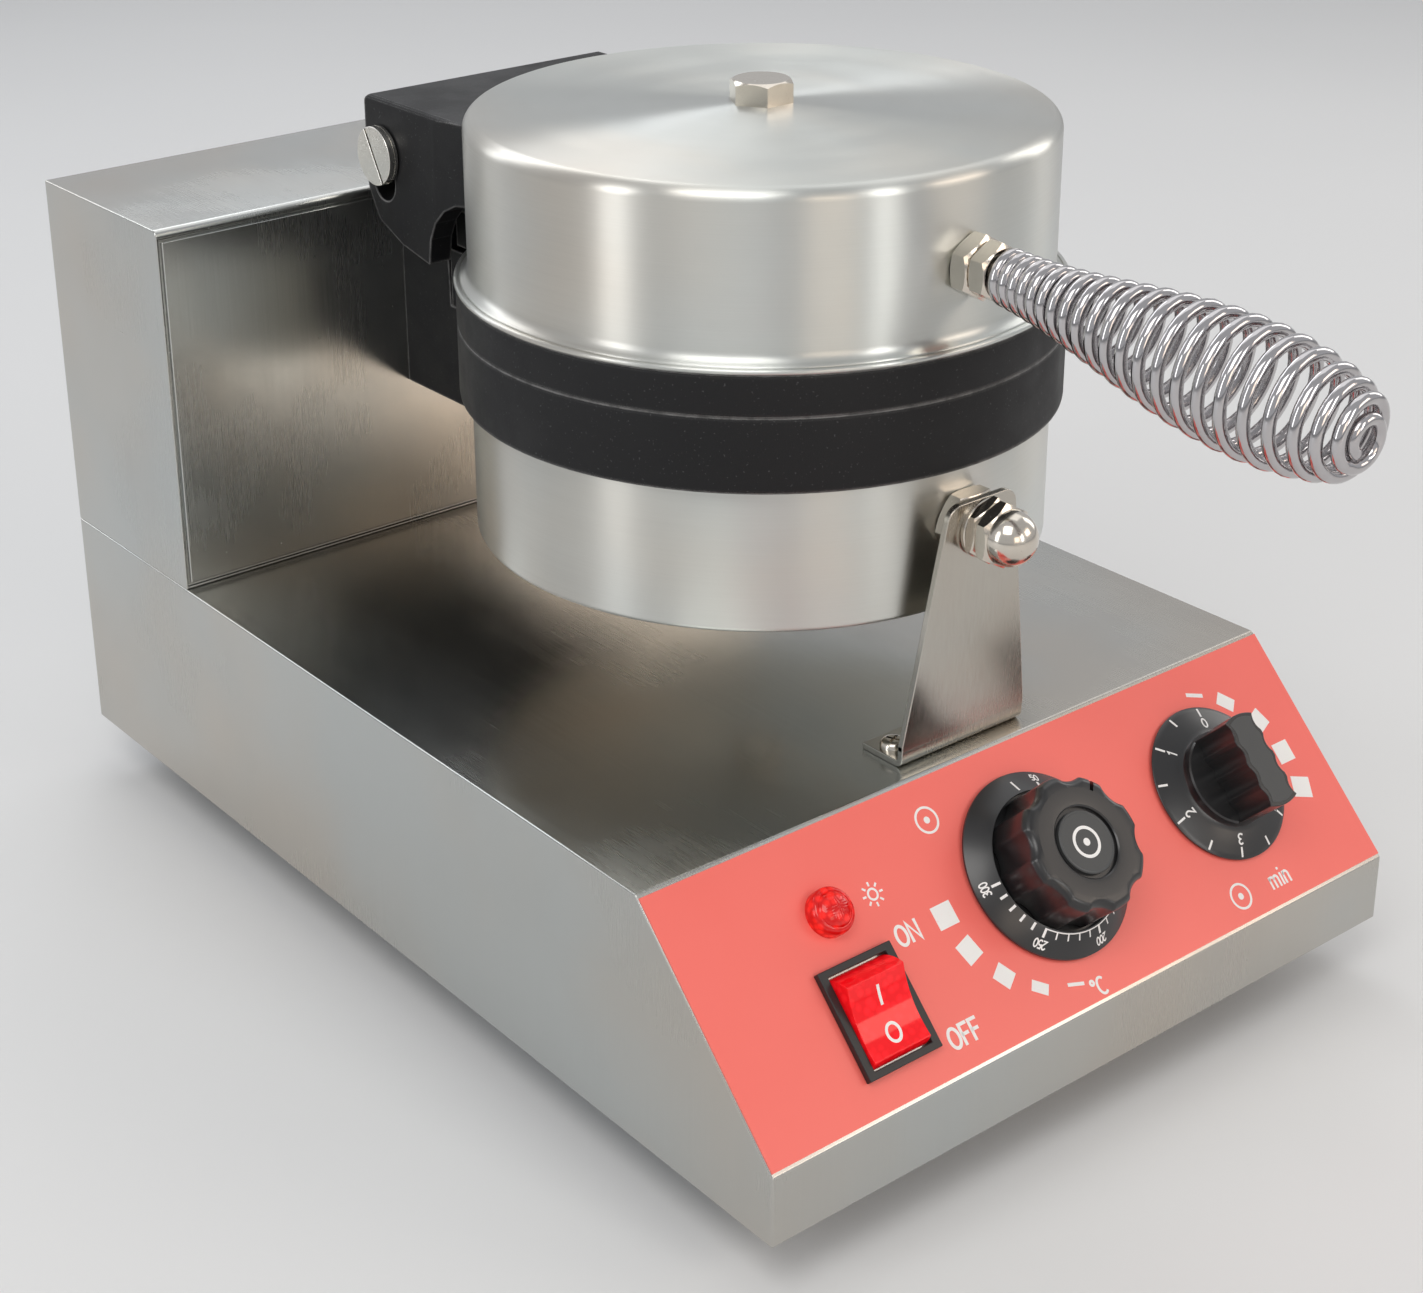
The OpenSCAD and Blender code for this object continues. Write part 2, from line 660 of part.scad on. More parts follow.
module lower_plate() {
    boss_r = 10;
    color("#29292b") difference() {
        union() {
            at_pan() difference() {
                translate([0, 0, lower_rim_z]) cylinder(r = rim_r, h = lower_rim_h, $fn = 96);
                translate([0, 0, lower_rim_z - 1])
                    cylinder(r = rim_r - skirt_t, h = lower_rim_h - slab_t + 1, $fn = 96);
            }
            at_pan(lower_cover_z + cover_t) cylinder(r = boss_r, h = slab_z - lower_cover_z - cover_t + 1);
            // Tongue that rests on the hinge arm
            from_rear() block([-tongue_w / 2, pan_y + rim_r - 12, lower_rim_z],
                              [tongue_w / 2, tongue_back_y, joint_z - 2]);
            // Boss for the front stud
            from_rear() block([-10, pan_y - cover_r + 8, bracket_stud_z - 10],
                              [10, pan_y - cover_r + 22, slab_z + 1]);
        }
        at_pan(joint_z - batter_recess) {
            cylinder(r = pattern_r, h = batter_recess + 1, $fn = 96);
            waffle_grooves(pattern_r - 1);
        }
        at_pan(slab_z - heater_r + heater_sink) heater_groove();
        at_pan(lower_cover_z) cylinder(r = m8_hole_r, h = cover_bolt_l + 2);
        from_rear() for (p = plate_bolt_spots) translate([p[0], p[1], lower_rim_z - 1])
            cylinder(r = m8_hole_r, h = 13);
        from_rear() translate([0, pan_y - cover_r, bracket_stud_z]) rotate([-90, 0, 0])
            cylinder(r = stud_r + screw_clear, h = 19);
    }
}

module plate_bolts() {
    color("gainsboro") from_rear() for (p = plate_bolt_spots)
        translate([p[0], p[1], lower_rim_z - arm_t]) hex_bolt(m8_af, m8_head, m8_r, arm_t + 11);
}

module lower_heater() { color("peru") at_pan(slab_z - heater_r + heater_sink) heater_tube(heater_r); }

// Half section of a round cover: wall from y = 0, rounded edge, top that rises to a flat middle
module cover_section(r, h, edge, crown = 0) {
    flat_r = crown > 0 ? crown_flat_r : 0;
    polygon([[0, 0], [r, 0], [r, h - crown - edge], [r - edge, h - crown], [flat_r, h], [0, h]]);
    intersection() {
        translate([r - edge, h - crown - edge]) circle(edge);
        translate([r - edge, h - crown - edge]) square(edge + 1);
    }
}

module cover_cup(h, bolt_r, edge, crown) {
    rotate_extrude($fn = 96) difference() {
        cover_section(cover_r, h, edge, crown);
        translate([0, -cover_t]) cover_section(cover_r - cover_t, h, edge - cover_t, crown);
        translate([-1, -1]) square([bolt_r + 1, h + 2]);
    }
}

module lower_cover() {
    color("lightsteelblue") difference() {
        at_pan(lower_rim_z) mirror([0, 0, 1]) cover_cup(lower_cover_h, m8_hole_r, lower_edge_r, 0);
        from_rear() translate([0, pan_y, bracket_stud_z]) rotate([90, 0, 0])
            cylinder(r = stud_r + screw_clear, h = cover_r + 10);
    }
}

module lower_cover_bolt() {
    color("gainsboro") at_pan(lower_cover_z) hex_bolt(m8_af, m8_head, m8_r, cover_bolt_l);
}

tongue_top_y = pan_y + rim_r + 22;
hood_screw_spots = [for (x = [-1, 1]) [x * 18, tongue_top_y - 10]];
hood_screw_head = 6;
hood_screw_r = 3;
top_bolt_l = 27;
module upper_plate() {
    boss_r = 11;
    color("#29292b") difference() {
        union() {
            at_pan(joint_z) cylinder(r = rim_r, h = upper_rim_h, $fn = 96);
            at_pan(joint_z + 1) cylinder(r = boss_r, h = upper_rim_h + upper_cover_h - cover_t - 1);
            from_rear() block([-tongue_w / 2, pan_y + rim_r - 12, joint_z],
                              [tongue_w / 2, tongue_top_y, upper_rim_top]);
            from_rear() block([-10, pan_y - cover_r + 8, upper_rim_top - 1],
                              [10, pan_y - cover_r + 22, handle_z + 10]);
        }
        at_pan(joint_z + batter_recess) mirror([0, 0, 1]) {
            cylinder(r = pattern_r, h = batter_recess + 1, $fn = 96);
            waffle_grooves(pattern_r - 1);
        }
        at_pan(upper_rim_top + heater_r - heater_sink) heater_groove();
        at_pan(upper_cover_top - top_bolt_l - 3) cylinder(r = m10_hole_r, h = top_bolt_l + 4);
        from_rear() translate([0, pan_y - cover_r, handle_z]) rotate([-90, 0, 0])
            cylinder(r = stud_r + screw_clear, h = 19);
        from_rear() for (p = hood_screw_spots) translate([p[0], p[1], joint_z - 1]) {
            cylinder(r = 5.2, h = hood_screw_head + 1.6);
            cylinder(r = hood_screw_r + screw_clear, h = upper_rim_h + 2);
        }
    }
}

module upper_heater() { color("peru") at_pan(upper_rim_top + heater_r - heater_sink) heater_tube(heater_r); }

module upper_cover() {
    color("lightsteelblue") difference() {
        union() {
            at_pan(upper_rim_top) cover_cup(upper_cover_h, m10_hole_r, cover_edge_r, cover_crown);
            at_pan(upper_rim_top) rotate_extrude($fn = 96) {
                translate([cover_r - cover_t, 0])
                    square([lip_r - cover_lip_t / 2 - cover_r + cover_t, cover_lip_t]);
                translate([lip_r - cover_lip_t / 2, cover_lip_t / 2]) circle(cover_lip_t / 2);
                // Cove between the wall and the lip
                difference() {
                    translate([cover_r - cover_t / 2, cover_lip_t / 2])
                        square([cove_r + cover_t / 2, cove_r + cover_lip_t / 2]);
                    translate([cover_r + cove_r, cover_lip_t + cove_r]) circle(cove_r);
                }
            }
        }
        from_rear() translate([0, pan_y, handle_z]) rotate([90, 0, 0])
            cylinder(r = stud_r + screw_clear, h = cover_r + 10);
    }
}

module top_bolt() {
    color("gainsboro") at_pan(upper_cover_top) mirror([0, 0, 1])
        hex_bolt(m10_af, m10_head, m10_r, top_bolt_l);
}

// ---- hood of the lid's hinge ----

hood_clear = 0.3;
pad_h = 12;
hood_lap = 3.3;
hood_edge_r = 2;
arch_z = upper_rim_top + pad_h - hood_lap - pin_z;

// Side of the hood, as (y, z) from the pin: a straight back, a curved lower edge, an arch
// under the front and a flat roof that runs into the cover
cheek_side = [[hood_back, hood_rise], [hood_back, -12], [4, -22], [-9, -27.5], [-24.2, -30.5],
    [-24.2, arch_z], [-75, arch_z], [-75, hood_rise]];
cheek_radii = [3, 8, 6, 6, 0.4, 21, 0, 0];

module upper_hinge_hood() {
    taper_y = pan_y + cover_r + 15;
    half = hood_w / 2;
    hood_top = pin_z + hood_rise;
    plan = [[half, pin_y + hood_back + 1], [half, taper_y], [half - 2.4, taper_y - 40],
            [2.4 - half, taper_y - 40], [-half, taper_y], [-half, pin_y + hood_back + 1]];
    color("#2b2b2d") from_rear() difference() {
        union() {
            difference() {
                intersection() {
                    translate([0, pin_y, pin_z]) across(hood_w) polygon(rounded(cheek_side, cheek_radii, 5));
                    // Plan: straight sides that turn in a little towards the pans
                    linear_extrude(hood_top + 1) polygon(plan);
                    // Front view: rounded edges along the roof
                    rotate([90, 0, 0]) linear_extrude(-pan_y)
                        polygon(rounded([[-half, 0], [half, 0], [half, hood_top], [-half, hood_top]],
                            [0, 0, hood_edge_r, hood_edge_r], 4));
                }
                // Room for the lower arm, open to the rear and below
                difference() {
                    block([-hood_w / 2 + cheek_t, pan_y, joint_z - 20],
                          [hood_w / 2 - cheek_t, pin_y + hood_back + 1, hood_top - hood_roof_t]);
                    translate([0, pan_y, 0])
                        cylinder(r = cover_r + hood_clear + hood_wall_t, h = pin_z + 30, $fn = 96);
                }
                for (z = [-float_h, 0]) translate([0, pin_y, pin_z + z])
                    rod_x(pin_r + 2 * pin_clear, hood_w + 4);
                block([-hood_w / 2 - 2, pin_y - pin_r - 2 * pin_clear, pin_z - float_h],
                      [hood_w / 2 + 2, pin_y + pin_r + 2 * pin_clear, pin_z]);
            }
            // Pad that is screwed to the upper plate's tongue
            block([-tongue_w / 2, pan_y + cover_r - 8, upper_rim_top],
                  [tongue_w / 2, tongue_top_y, upper_rim_top + pad_h]);
        }
        translate([0, pan_y, joint_z]) cylinder(r = cover_r + hood_clear, h = 100, $fn = 96);
        translate([0, pan_y, joint_z])
            cylinder(r = lip_r + hood_clear, h = upper_rim_h + cover_lip_t + cove_r + hood_clear, $fn = 96);
        for (p = hood_screw_spots) translate([p[0], p[1], upper_rim_top - 1])
            cylinder(r = hood_screw_r + screw_clear, h = pad_h);
    }
}

module hood_screws() {
    l = upper_rim_h - hood_screw_head - 0.5 + pad_h - 2;
    color("gray") from_rear() for (p = hood_screw_spots)
        translate([p[0], p[1], joint_z + hood_screw_head + 0.6]) difference() {
            union() {
                translate([0, 0, -hood_screw_head]) cylinder(r = 4.9, h = hood_screw_head);
                cylinder(r = hood_screw_r, h = l);
            }
            translate([0, 0, -hood_screw_head - 1]) hex(5, 4);
        }
}

// ---- handle ----

module handle_stud() {
    l = 16 + handle_nut_t + 5;
    color("silver") from_rear() translate([0, pan_y - cover_r + 16, handle_z]) rotate([90, 0, 0])
        cylinder(r = stud_r, h = l);
}

module handle_nut() {
    color("gainsboro") from_rear() translate([0, pan_y - cover_r, handle_z]) rotate([90, 0, 0])
        nut(stud_nut_af, handle_nut_t, stud_r + screw_clear);
}

// Outside radius of the grip at a share f of its length: it swells to its thickest turn,
// then closes in a short round end
function grip_r(f) = f < grip_bulge_at
    ? grip_neck_r + (grip_bulge_r - grip_neck_r) * pow(sin(90 * f / grip_bulge_at), 2)
    : grip_tip_r + (grip_bulge_r - grip_tip_r)
        * sqrt(max(0, cos(90 * (f - grip_bulge_at) / (1 - grip_bulge_at))));

// Distance along the grip after a number of turns: close-wound at both ends
function grip_s(turn) =
    turn < neck_turns ? turn * neck_pitch
    : turn < neck_turns + body_turns ? neck_turns * neck_pitch + (turn - neck_turns) * body_pitch
    : grip_l - (grip_turns - turn) * tip_pitch;

module handle_spring() {
    rings = grip_turns * steps_per_turn;
    points = [for (i = [0:rings], j = [0:wire_sides - 1])
        let (turn = i / steps_per_turn, s = grip_s(turn), a = 360 * turn, b = 90 + 360 * j / wire_sides,
             r = grip_r(s / grip_l) - wire_r + wire_r * cos(b))
        [r * cos(a), r * sin(a), s + wire_r * sin(b)]];
    sides = [for (i = [0:rings - 1], j = [0:wire_sides - 1])
        let (k = i * wire_sides, n = (j + 1) % wire_sides)
        [k + j, k + n, k + wire_sides + n, k + wire_sides + j]];
    start = [[for (j = [wire_sides - 1:-1:0]) j]];
    end = [[for (j = [0:wire_sides - 1]) rings * wire_sides + j]];
    color("silver") from_rear() translate([0, grip_y, handle_z]) rotate([90 + grip_droop, 0, 0])
        polyhedron(points = points, faces = concat(start, sides, end), convexity = 10);
}

// ---- front support ----

module support_bracket() {
    bend_r = 3;
    top_w = bracket_top_w;
    foot_w = bracket_foot_w;
    front = bracket_y - bracket_t;
    back = front + bracket_foot_d;
    color("silver") from_rear() difference() {
        intersection() {
            across(foot_w) difference() {
                polygon(rounded([[front, cab_top], [back, cab_top], [back, cab_top + bracket_h],
                    [front, cab_top + bracket_h]], [bend_r, 0, 0, 0]));
                polygon(rounded([[bracket_y, cab_top + bracket_t], [back + 1, cab_top + bracket_t],
                    [back + 1, cab_top + bracket_h + 1], [bracket_y, cab_top + bracket_h + 1]],
                    [bend_r - bracket_t, 0, 0, 0]));
            }
            // Front view: a straight foot and a tapering leg with rounded shoulders
            translate([0, back + 1, cab_top]) rotate([90, 0, 0]) linear_extrude(bracket_foot_d + 2)
                polygon(rounded([[-foot_w / 2, 0], [foot_w / 2, 0], [foot_w / 2, 6],
                    [top_w / 2, bracket_h - 10],
                    [top_w / 2 - 6, bracket_h], [6 - top_w / 2, bracket_h], [-top_w / 2, bracket_h - 10],
                    [-foot_w / 2, 6]], [0, 0, 4, 4, 4, 4, 4, 4]));
        }
        for (p = bracket_screw_spots) translate([p[0], p[1], cab_top - 1])
            cylinder(r = tapping_hole_r, h = bracket_t + 2);
        translate([0, bracket_y + 1, bracket_stud_z]) rotate([90, 0, 0])
            cylinder(r = stud_r + screw_clear, h = bracket_t + 2);
    }
}

module bracket_screws() {
    color("gainsboro") from_rear() for (p = bracket_screw_spots)
        translate([p[0], p[1], cab_top + bracket_t]) mirror([0, 0, 1])
            pan_screw(tapping_r, bracket_t + sheet_t + 4, 3.4, 2);
}

cap_nut_hex = 7;
back_nut_af = 28;
cap_nut_h = 16.5;
module bracket_stud() {
    l = 16 + back_nut_t + bracket_t + bracket_nut_t + cap_nut_hex;
    color("silver") from_rear() translate([0, pan_y - cover_r + 16, bracket_stud_z]) rotate([90, 0, 0])
        cylinder(r = stud_r, h = l);
}

module bracket_nut() {
    color("gainsboro") from_rear() translate([0, bracket_y - bracket_t, bracket_stud_z]) rotate([90, 0, 0])
        nut(stud_nut_af, bracket_nut_t, stud_r + screw_clear);
}

module bracket_back_nut() {
    color("gainsboro") from_rear() translate([0, bracket_y + back_nut_t, bracket_stud_z]) rotate([90, 30, 0])
        nut(back_nut_af, back_nut_t, stud_r + screw_clear);
}

// Acorn nut: a hexagon with a domed cap
module cap_nut() {
    dome_r = stud_nut_af / 2 - 0.7;
    color("gainsboro") from_rear() translate([0, bracket_y - bracket_t - bracket_nut_t, bracket_stud_z])
        rotate([90, 0, 0]) difference() {
            union() {
                hex(stud_nut_af, cap_nut_hex);
                cylinder(r = dome_r, h = cap_nut_h - dome_r);
                translate([0, 0, cap_nut_h - dome_r]) sphere(dome_r);
            }
            translate([0, 0, -1]) cylinder(r = stud_r + screw_clear, h = cap_nut_hex + 1.5);
            translate([0, 0, -2 * dome_r]) cylinder(r = 2 * dome_r, h = 2 * dome_r);
        }
}

// ---- switch and lamp ----

rocker_pivot_z = -2;
body_depth = 22;
module switch_body() {
    wall = (body_cut_w - rocker_w) / 2 - 0.3;
    window_w = rocker_w + 0.6;
    window_l = 2 * (rocker_r + 0.2);
    color("#222224") on_panel(switch_x, switch_v) difference() {
        union() {
            block([-bezel_w / 2, -bezel_l / 2, overlay_t], [bezel_w / 2, bezel_l / 2, overlay_t + bezel_t]);
            block([-body_cut_w / 2 + 0.1, -body_cut_l / 2 + 0.1, -body_depth],
                  [body_cut_w / 2 - 0.1, body_cut_l / 2 - 0.1, overlay_t + 1]);
            for (x = [-5, 5]) block([x - 0.4, -3.2, -body_depth - 8], [x + 0.4, 3.2, -body_depth + 1]);
        }
        block([-window_w / 2, -window_l / 2, -10], [window_w / 2, window_l / 2, overlay_t + bezel_t + 1]);
        translate([0, 0, rocker_pivot_z]) rod_x(1.55, window_w + 2 * wall);
    }
}

// Rocker: two faces that dip to the middle, its ends on an arc about the pivot
module rocker() {
    peak = 8;
    color("red") on_panel(switch_x, switch_v, rocker_pivot_z) rotate([rocker_tilt, 0, 0]) union() {
        across(rocker_w) intersection() {
            circle(rocker_r);
            polygon([[-rocker_r, -3], [rocker_r, -3], [rocker_r, peak + rocker_dish - 2], [0, peak - 2],
                     [-rocker_r, peak + rocker_dish - 2]]);
        }
        rod_x(1.5, rocker_w + 1);
    }
}

module lamp_lens() {
    color("red") on_panel(switch_x, lamp_v, overlay_t) rotate_extrude() difference() {
        union() {
            square([lamp_r, 2]);
            intersection() {
                translate([0, 2 - lamp_r * 0.35]) circle(sqrt(pow(lamp_r, 2) + pow(lamp_r * 0.35, 2)));
                square([lamp_r + 1, lamp_r * 2]);
            }
        }
        square([lamp_r * 0.5, 2.5]);
    }
}

module lamp_body() {
    color("gray") on_panel(switch_x, lamp_v) {
        translate([0, 0, -22]) cylinder(r = lamp_neck_r, h = 22 + overlay_t);
        translate([0, 0, -sheet_t - 4]) difference() {
            hex(14, 4);
            translate([0, 0, -1]) cylinder(r = lamp_neck_r - 0.5, h = 6);
        }
        for (x = [-2.5, 2.5]) translate([x, 0, -28]) cylinder(r = 0.8, h = 7);
    }
}

// ---- controls ----

thermostat_box = [38, 36, 20];
timer_box = [42, 38, 26];
bush_reach = 2.5;
tab_w = 6;
tab_t = 0.8;
shaft_low = -sheet_t - 11;
shaft_top = 14;

// Box behind the panel with a bush that the shaft turns in, and connection tabs at its back
module control_box(size, tab_xs, tab_l) {
    back = -sheet_t - size[2];
    difference() {
        union() {
            block([-size[0] / 2, -size[1] / 2, back], [size[0] / 2, size[1] / 2, -sheet_t]);
            translate([0, 0, -sheet_t - 1]) cylinder(r = bush_r, h = sheet_t + 1 + bush_reach);
        }
        translate([0, 0, shaft_low - 1]) cylinder(r = shaft_r + shaft_clear, h = shaft_top - shaft_low + 2);
    }
    for (x = tab_xs) block([x - tab_w / 2, -tab_t / 2, back - tab_l], [x + tab_w / 2, tab_t / 2, back]);
}

module thermostat_body() {
    color("gray") on_panel(temp_x, knob_v) control_box(thermostat_box, [-12, 0, 12], 8);
}

module timer_body() { color("gray") on_panel(timer_x, knob_v) control_box(timer_box, [-10, 10], 6); }

module control_shaft() { translate([0, 0, shaft_low]) cylinder(r = shaft_r, h = shaft_top - shaft_low); }

module temp_shaft() { color("silver") on_panel(temp_x, knob_v) control_shaft(); }
module timer_shaft() { color("silver") on_panel(timer_x, knob_v) control_shaft(); }

knob_base = overlay_t + knob_gap;
// Room inside a knob for the bush, and the bore that grips the shaft
module knob_hollow(r) {
    translate([0, 0, knob_base - 1]) cylinder(r = r, h = 3.4);
    translate([0, 0, knob_base]) cylinder(r = shaft_r + shaft_clear, h = shaft_top - knob_base + 0.2);
}

// Thermostat knob: a conical skirt and a grip with finger scallops and a dished top
module temp_knob() {
    edge = 2.2;
    skirt_h = 6.2;
    scallop_r = 9;
    reach = temp_grip_r + scallop_r - 1.6;
    groove = 1.3;
    color("#242426") on_panel(temp_x, knob_v) difference() {
        union() {
            translate([0, 0, knob_base]) cylinder(r = temp_skirt_r, h = 1, $fn = 96);
            translate([0, 0, knob_base + 1])
                cylinder(r1 = temp_skirt_r, r2 = temp_grip_r + 0.5, h = skirt_h - knob_base - 1, $fn = 96);
            intersection() {
                translate([0, 0, skirt_h - 1]) linear_extrude(knob_h - skirt_h + 1) difference() {
                    circle(temp_grip_r);
                    for (i = [0:temp_scallops - 1]) rotate(360 * (i + 0.5) / temp_scallops + 50)
                        translate([reach, 0]) circle(scallop_r);
                }
                rotate_extrude() intersection() {
                    cover_section(temp_grip_r + 0.01, knob_h, edge);
                    square([temp_grip_r + 1, knob_h]);
                }
            }
        }
        knob_hollow(bush_r + 1.5);
        translate([0, 0, knob_h - groove]) cylinder(r = insert_r + 1.2, h = groove + 1);
        // Pointer notch at the rim of the grip
        rotate(50) block([temp_grip_r - 4, -0.6, knob_h - 3.2], [temp_grip_r + 1, 0.6, knob_h + 1]);
    }
}

module temp_knob_insert() {
    color("#3a3a3c") on_panel(temp_x, knob_v) translate([0, 0, knob_h - 1.3]) cylinder(r = insert_r, h = 1.1);
}

// Timer knob: a domed skirt, a round hub and a fluted bar to turn it by
module timer_knob() {
    skirt_h = 5.6;
    dome_r = 70;
    bar_l = 2 * timer_hub_r;
    flutes = 4;
    flute_r = 4.4;
    pitch = (bar_l - 1) / flutes;
    color("#242426") on_panel(timer_x, knob_v) difference() {
        union() {
            intersection() {
                translate([0, 0, knob_base]) cylinder(r = timer_skirt_r, h = skirt_h, $fn = 96);
                translate([0, 0, skirt_h - dome_r]) sphere(dome_r, $fn = 128);
            }
            translate([0, 0, skirt_h - 2]) cylinder(r = timer_hub_r, h = 3.5);
            intersection() {
                translate([0, 0, skirt_h]) linear_extrude(knob_h - skirt_h) difference() {
                    translate([-timer_bar_w / 2, -bar_l / 2]) square([timer_bar_w, bar_l]);
                    for (s = [-1, 1], i = [0:flutes - 1])
                        translate([s * (timer_bar_w / 2 + flute_r - 0.9), (i - (flutes - 1) / 2) * pitch])
                            circle(flute_r);
                }
                rotate_extrude() intersection() {
                    cover_section(timer_hub_r, knob_h, 2.5);
                    square([timer_hub_r + 1, knob_h]);
                }
            }
        }
        knob_hollow(bush_r + 1.5);
    }
}

// ---- wiring pieces ----

module terminal_block() {
    ways = 5;
    pitch = 11;
    w = ways * pitch + 6;
    color("ivory") from_rear() translate([-40, -70, foot_h + sheet_t]) difference() {
        union() {
            block([-w / 2, -11, 0], [w / 2, 11, 6]);
            for (i = [0:ways - 1]) translate([(i - (ways - 1) / 2) * pitch, 0, 0])
                block([-pitch / 2 + 0.6, -8, 0], [pitch / 2 - 0.6, 8, 14]);
        }
        for (i = [0:ways - 1]) translate([(i - (ways - 1) / 2) * pitch, 0, 8])
            for (y = [-5, 5]) translate([0, y, 0]) cylinder(r = 2.2, h = 7);
    }
}

module gland_axis(y = 0) { from_rear() translate([gland_x, y, gland_z]) rotate([-90, 0, 0]) children(); }

module cable_gland() {
    color("#222224") gland_axis() difference() {
        union() {
            translate([0, 0, -9]) cylinder(r = gland_r, h = 10);
            hex(24, 5);
            translate([0, 0, 4]) cylinder(r = gland_r - 0.5, h = 4);
            translate([0, 0, 7]) hex(22, 9);
            translate([0, 0, 16]) cylinder(r1 = 10.5, r2 = 6.5, h = gland_out - 16);
        }
        translate([0, 0, -10]) cylinder(r = gland_bore_r, h = gland_out + 12);
    }
}

module gland_locknut() {
    color("#222224") gland_axis(-sheet_t) mirror([0, 0, 1]) nut(24, 5, gland_r + screw_clear);
}

cabinet_shell();
control_overlay();
bottom_plate();
bottom_screws();
rubber_feet();
foot_screws();
foot_nuts();
tower_shell();
tower_back_cover();
tower_screws();
tower_backing_plate();
lower_hinge_arm();
arm_bolts();
arm_nuts();
hinge_pin();
hinge_pin_nut();
hinge_spacers();
lower_plate();
plate_bolts();
lower_heater();
lower_cover();
lower_cover_bolt();
support_bracket();
bracket_screws();
bracket_stud();
bracket_nut();
bracket_back_nut();
cap_nut();
switch_body();
rocker();
lamp_lens();
lamp_body();
thermostat_body();
timer_body();
terminal_block();
cable_gland();
gland_locknut();
upper_plate();
upper_heater();
upper_cover();
top_bolt();
upper_hinge_hood();
hood_screws();
handle_stud();
handle_nut();
handle_spring();
temp_shaft();
temp_knob();
temp_knob_insert();
timer_shaft();
timer_knob();
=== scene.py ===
import json
import math

import bmesh
import bpy
from mathutils import Euler, Matrix, Vector


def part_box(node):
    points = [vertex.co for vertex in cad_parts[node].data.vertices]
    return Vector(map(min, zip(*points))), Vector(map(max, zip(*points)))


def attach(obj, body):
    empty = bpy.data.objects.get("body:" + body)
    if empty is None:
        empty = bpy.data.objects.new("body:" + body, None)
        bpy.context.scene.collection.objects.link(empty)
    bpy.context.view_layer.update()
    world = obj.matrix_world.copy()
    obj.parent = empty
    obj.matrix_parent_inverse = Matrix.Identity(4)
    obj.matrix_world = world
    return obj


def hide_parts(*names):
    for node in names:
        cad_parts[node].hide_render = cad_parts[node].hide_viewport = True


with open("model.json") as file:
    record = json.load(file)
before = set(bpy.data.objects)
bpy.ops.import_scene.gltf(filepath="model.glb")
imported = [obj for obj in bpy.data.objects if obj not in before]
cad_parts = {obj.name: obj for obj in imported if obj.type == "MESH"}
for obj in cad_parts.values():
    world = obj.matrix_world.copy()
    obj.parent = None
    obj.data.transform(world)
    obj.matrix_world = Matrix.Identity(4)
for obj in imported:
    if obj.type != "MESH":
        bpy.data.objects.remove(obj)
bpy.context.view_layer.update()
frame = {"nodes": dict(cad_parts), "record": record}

MM = 0.001


def corners(node):
    """The low and the high corner of a CAD node's box, in millimetres."""
    low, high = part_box(node)
    return low / MM, high / MM


# ---- places, in millimetres in the machine's own frame ----

CABINET_LOW, CABINET_HIGH = corners("cabinet_shell")
TOWER_LOW, TOWER_HIGH = corners("tower_shell")
PAN_LOW, PAN_HIGH = corners("lower_cover")
LID_LOW, LID_HIGH = corners("upper_cover")
PLATE_HIGH = corners("lower_plate")[1]
PIN_LOW, PIN_HIGH = corners("hinge_pin")
NUT_LOW, NUT_HIGH = corners("handle_nut")
FOOT_LOW, FOOT_HIGH = corners("support_bracket")

HALF_W = CABINET_HIGH.x
REAR_Y = CABINET_HIGH.y
DECK_Z = CABINET_HIGH.z  # top of the cabinet
TOWER_Y = TOWER_LOW.y    # front of the tower
TOWER_TOP = TOWER_HIGH.z

PANEL_Y = CABINET_LOW.y    # front edge of the control panel
LIP_Z = 39.0               # top of the lip below the control panel
RAKE = math.radians(45.6)  # rake of the control panel
OVERLAY_T = 0.4            # thickness of the red overlay
TEMP_AT = (2.4, 40.0)      # each control, across and up the panel
TIMER_AT = (75.0, 40.0)
SWITCH_AT = (-70.1, 24.8)
LAMP_AT = (-70.1, 52.8)

PAN_Y = (PAN_LOW.y + PAN_HIGH.y) / 2  # axis of the pans
COVER_R = PAN_HIGH.x
LIP_R = COVER_R + 4.2                 # rolled lip of the upper cover
JOINT_Z = PLATE_HIGH.z                # where the two plates meet

GRIP_DROOP = math.radians(5.66)   # the grip points down by this much
GRIP_START_Y = NUT_HIGH.y - 10.6  # the wire starts inside the lock nuts' end
GRIP_Z = (NUT_LOW.z + NUT_HIGH.z) / 2
STUD_Z = 162.2                    # axis of the support's nuts
SUPPORT_SHEET = 2.0               # thickness of the support's sheet
KNEE_Z = DECK_Z + 4.0             # where its leg starts to lean
LEAN = math.radians(3.6)          # and how much it leans to the front


# ---- camera ----

CAMERA_AT = (-0.44963, -0.53936, 0.43318)
CAMERA_TURN = (67.9, 0.683, -38.037)  # degrees about x, y and z


def place_camera():
    """The camera looks down on the machine from its front left corner."""
    lens = bpy.data.cameras.new("camera")
    lens.lens = 63.24
    lens.shift_x = 0.0459
    lens.shift_y = -0.1304
    lens.clip_start = 0.05
    lens.clip_end = 30
    camera = bpy.data.objects.new("camera", lens)
    turn = Euler([math.radians(angle) for angle in CAMERA_TURN])
    camera.matrix_world = Matrix.Translation(CAMERA_AT) @ turn.to_matrix().to_4x4()
    bpy.context.scene.collection.objects.link(camera)
    bpy.context.scene.camera = camera


place_camera()


# ---- shader maths ----

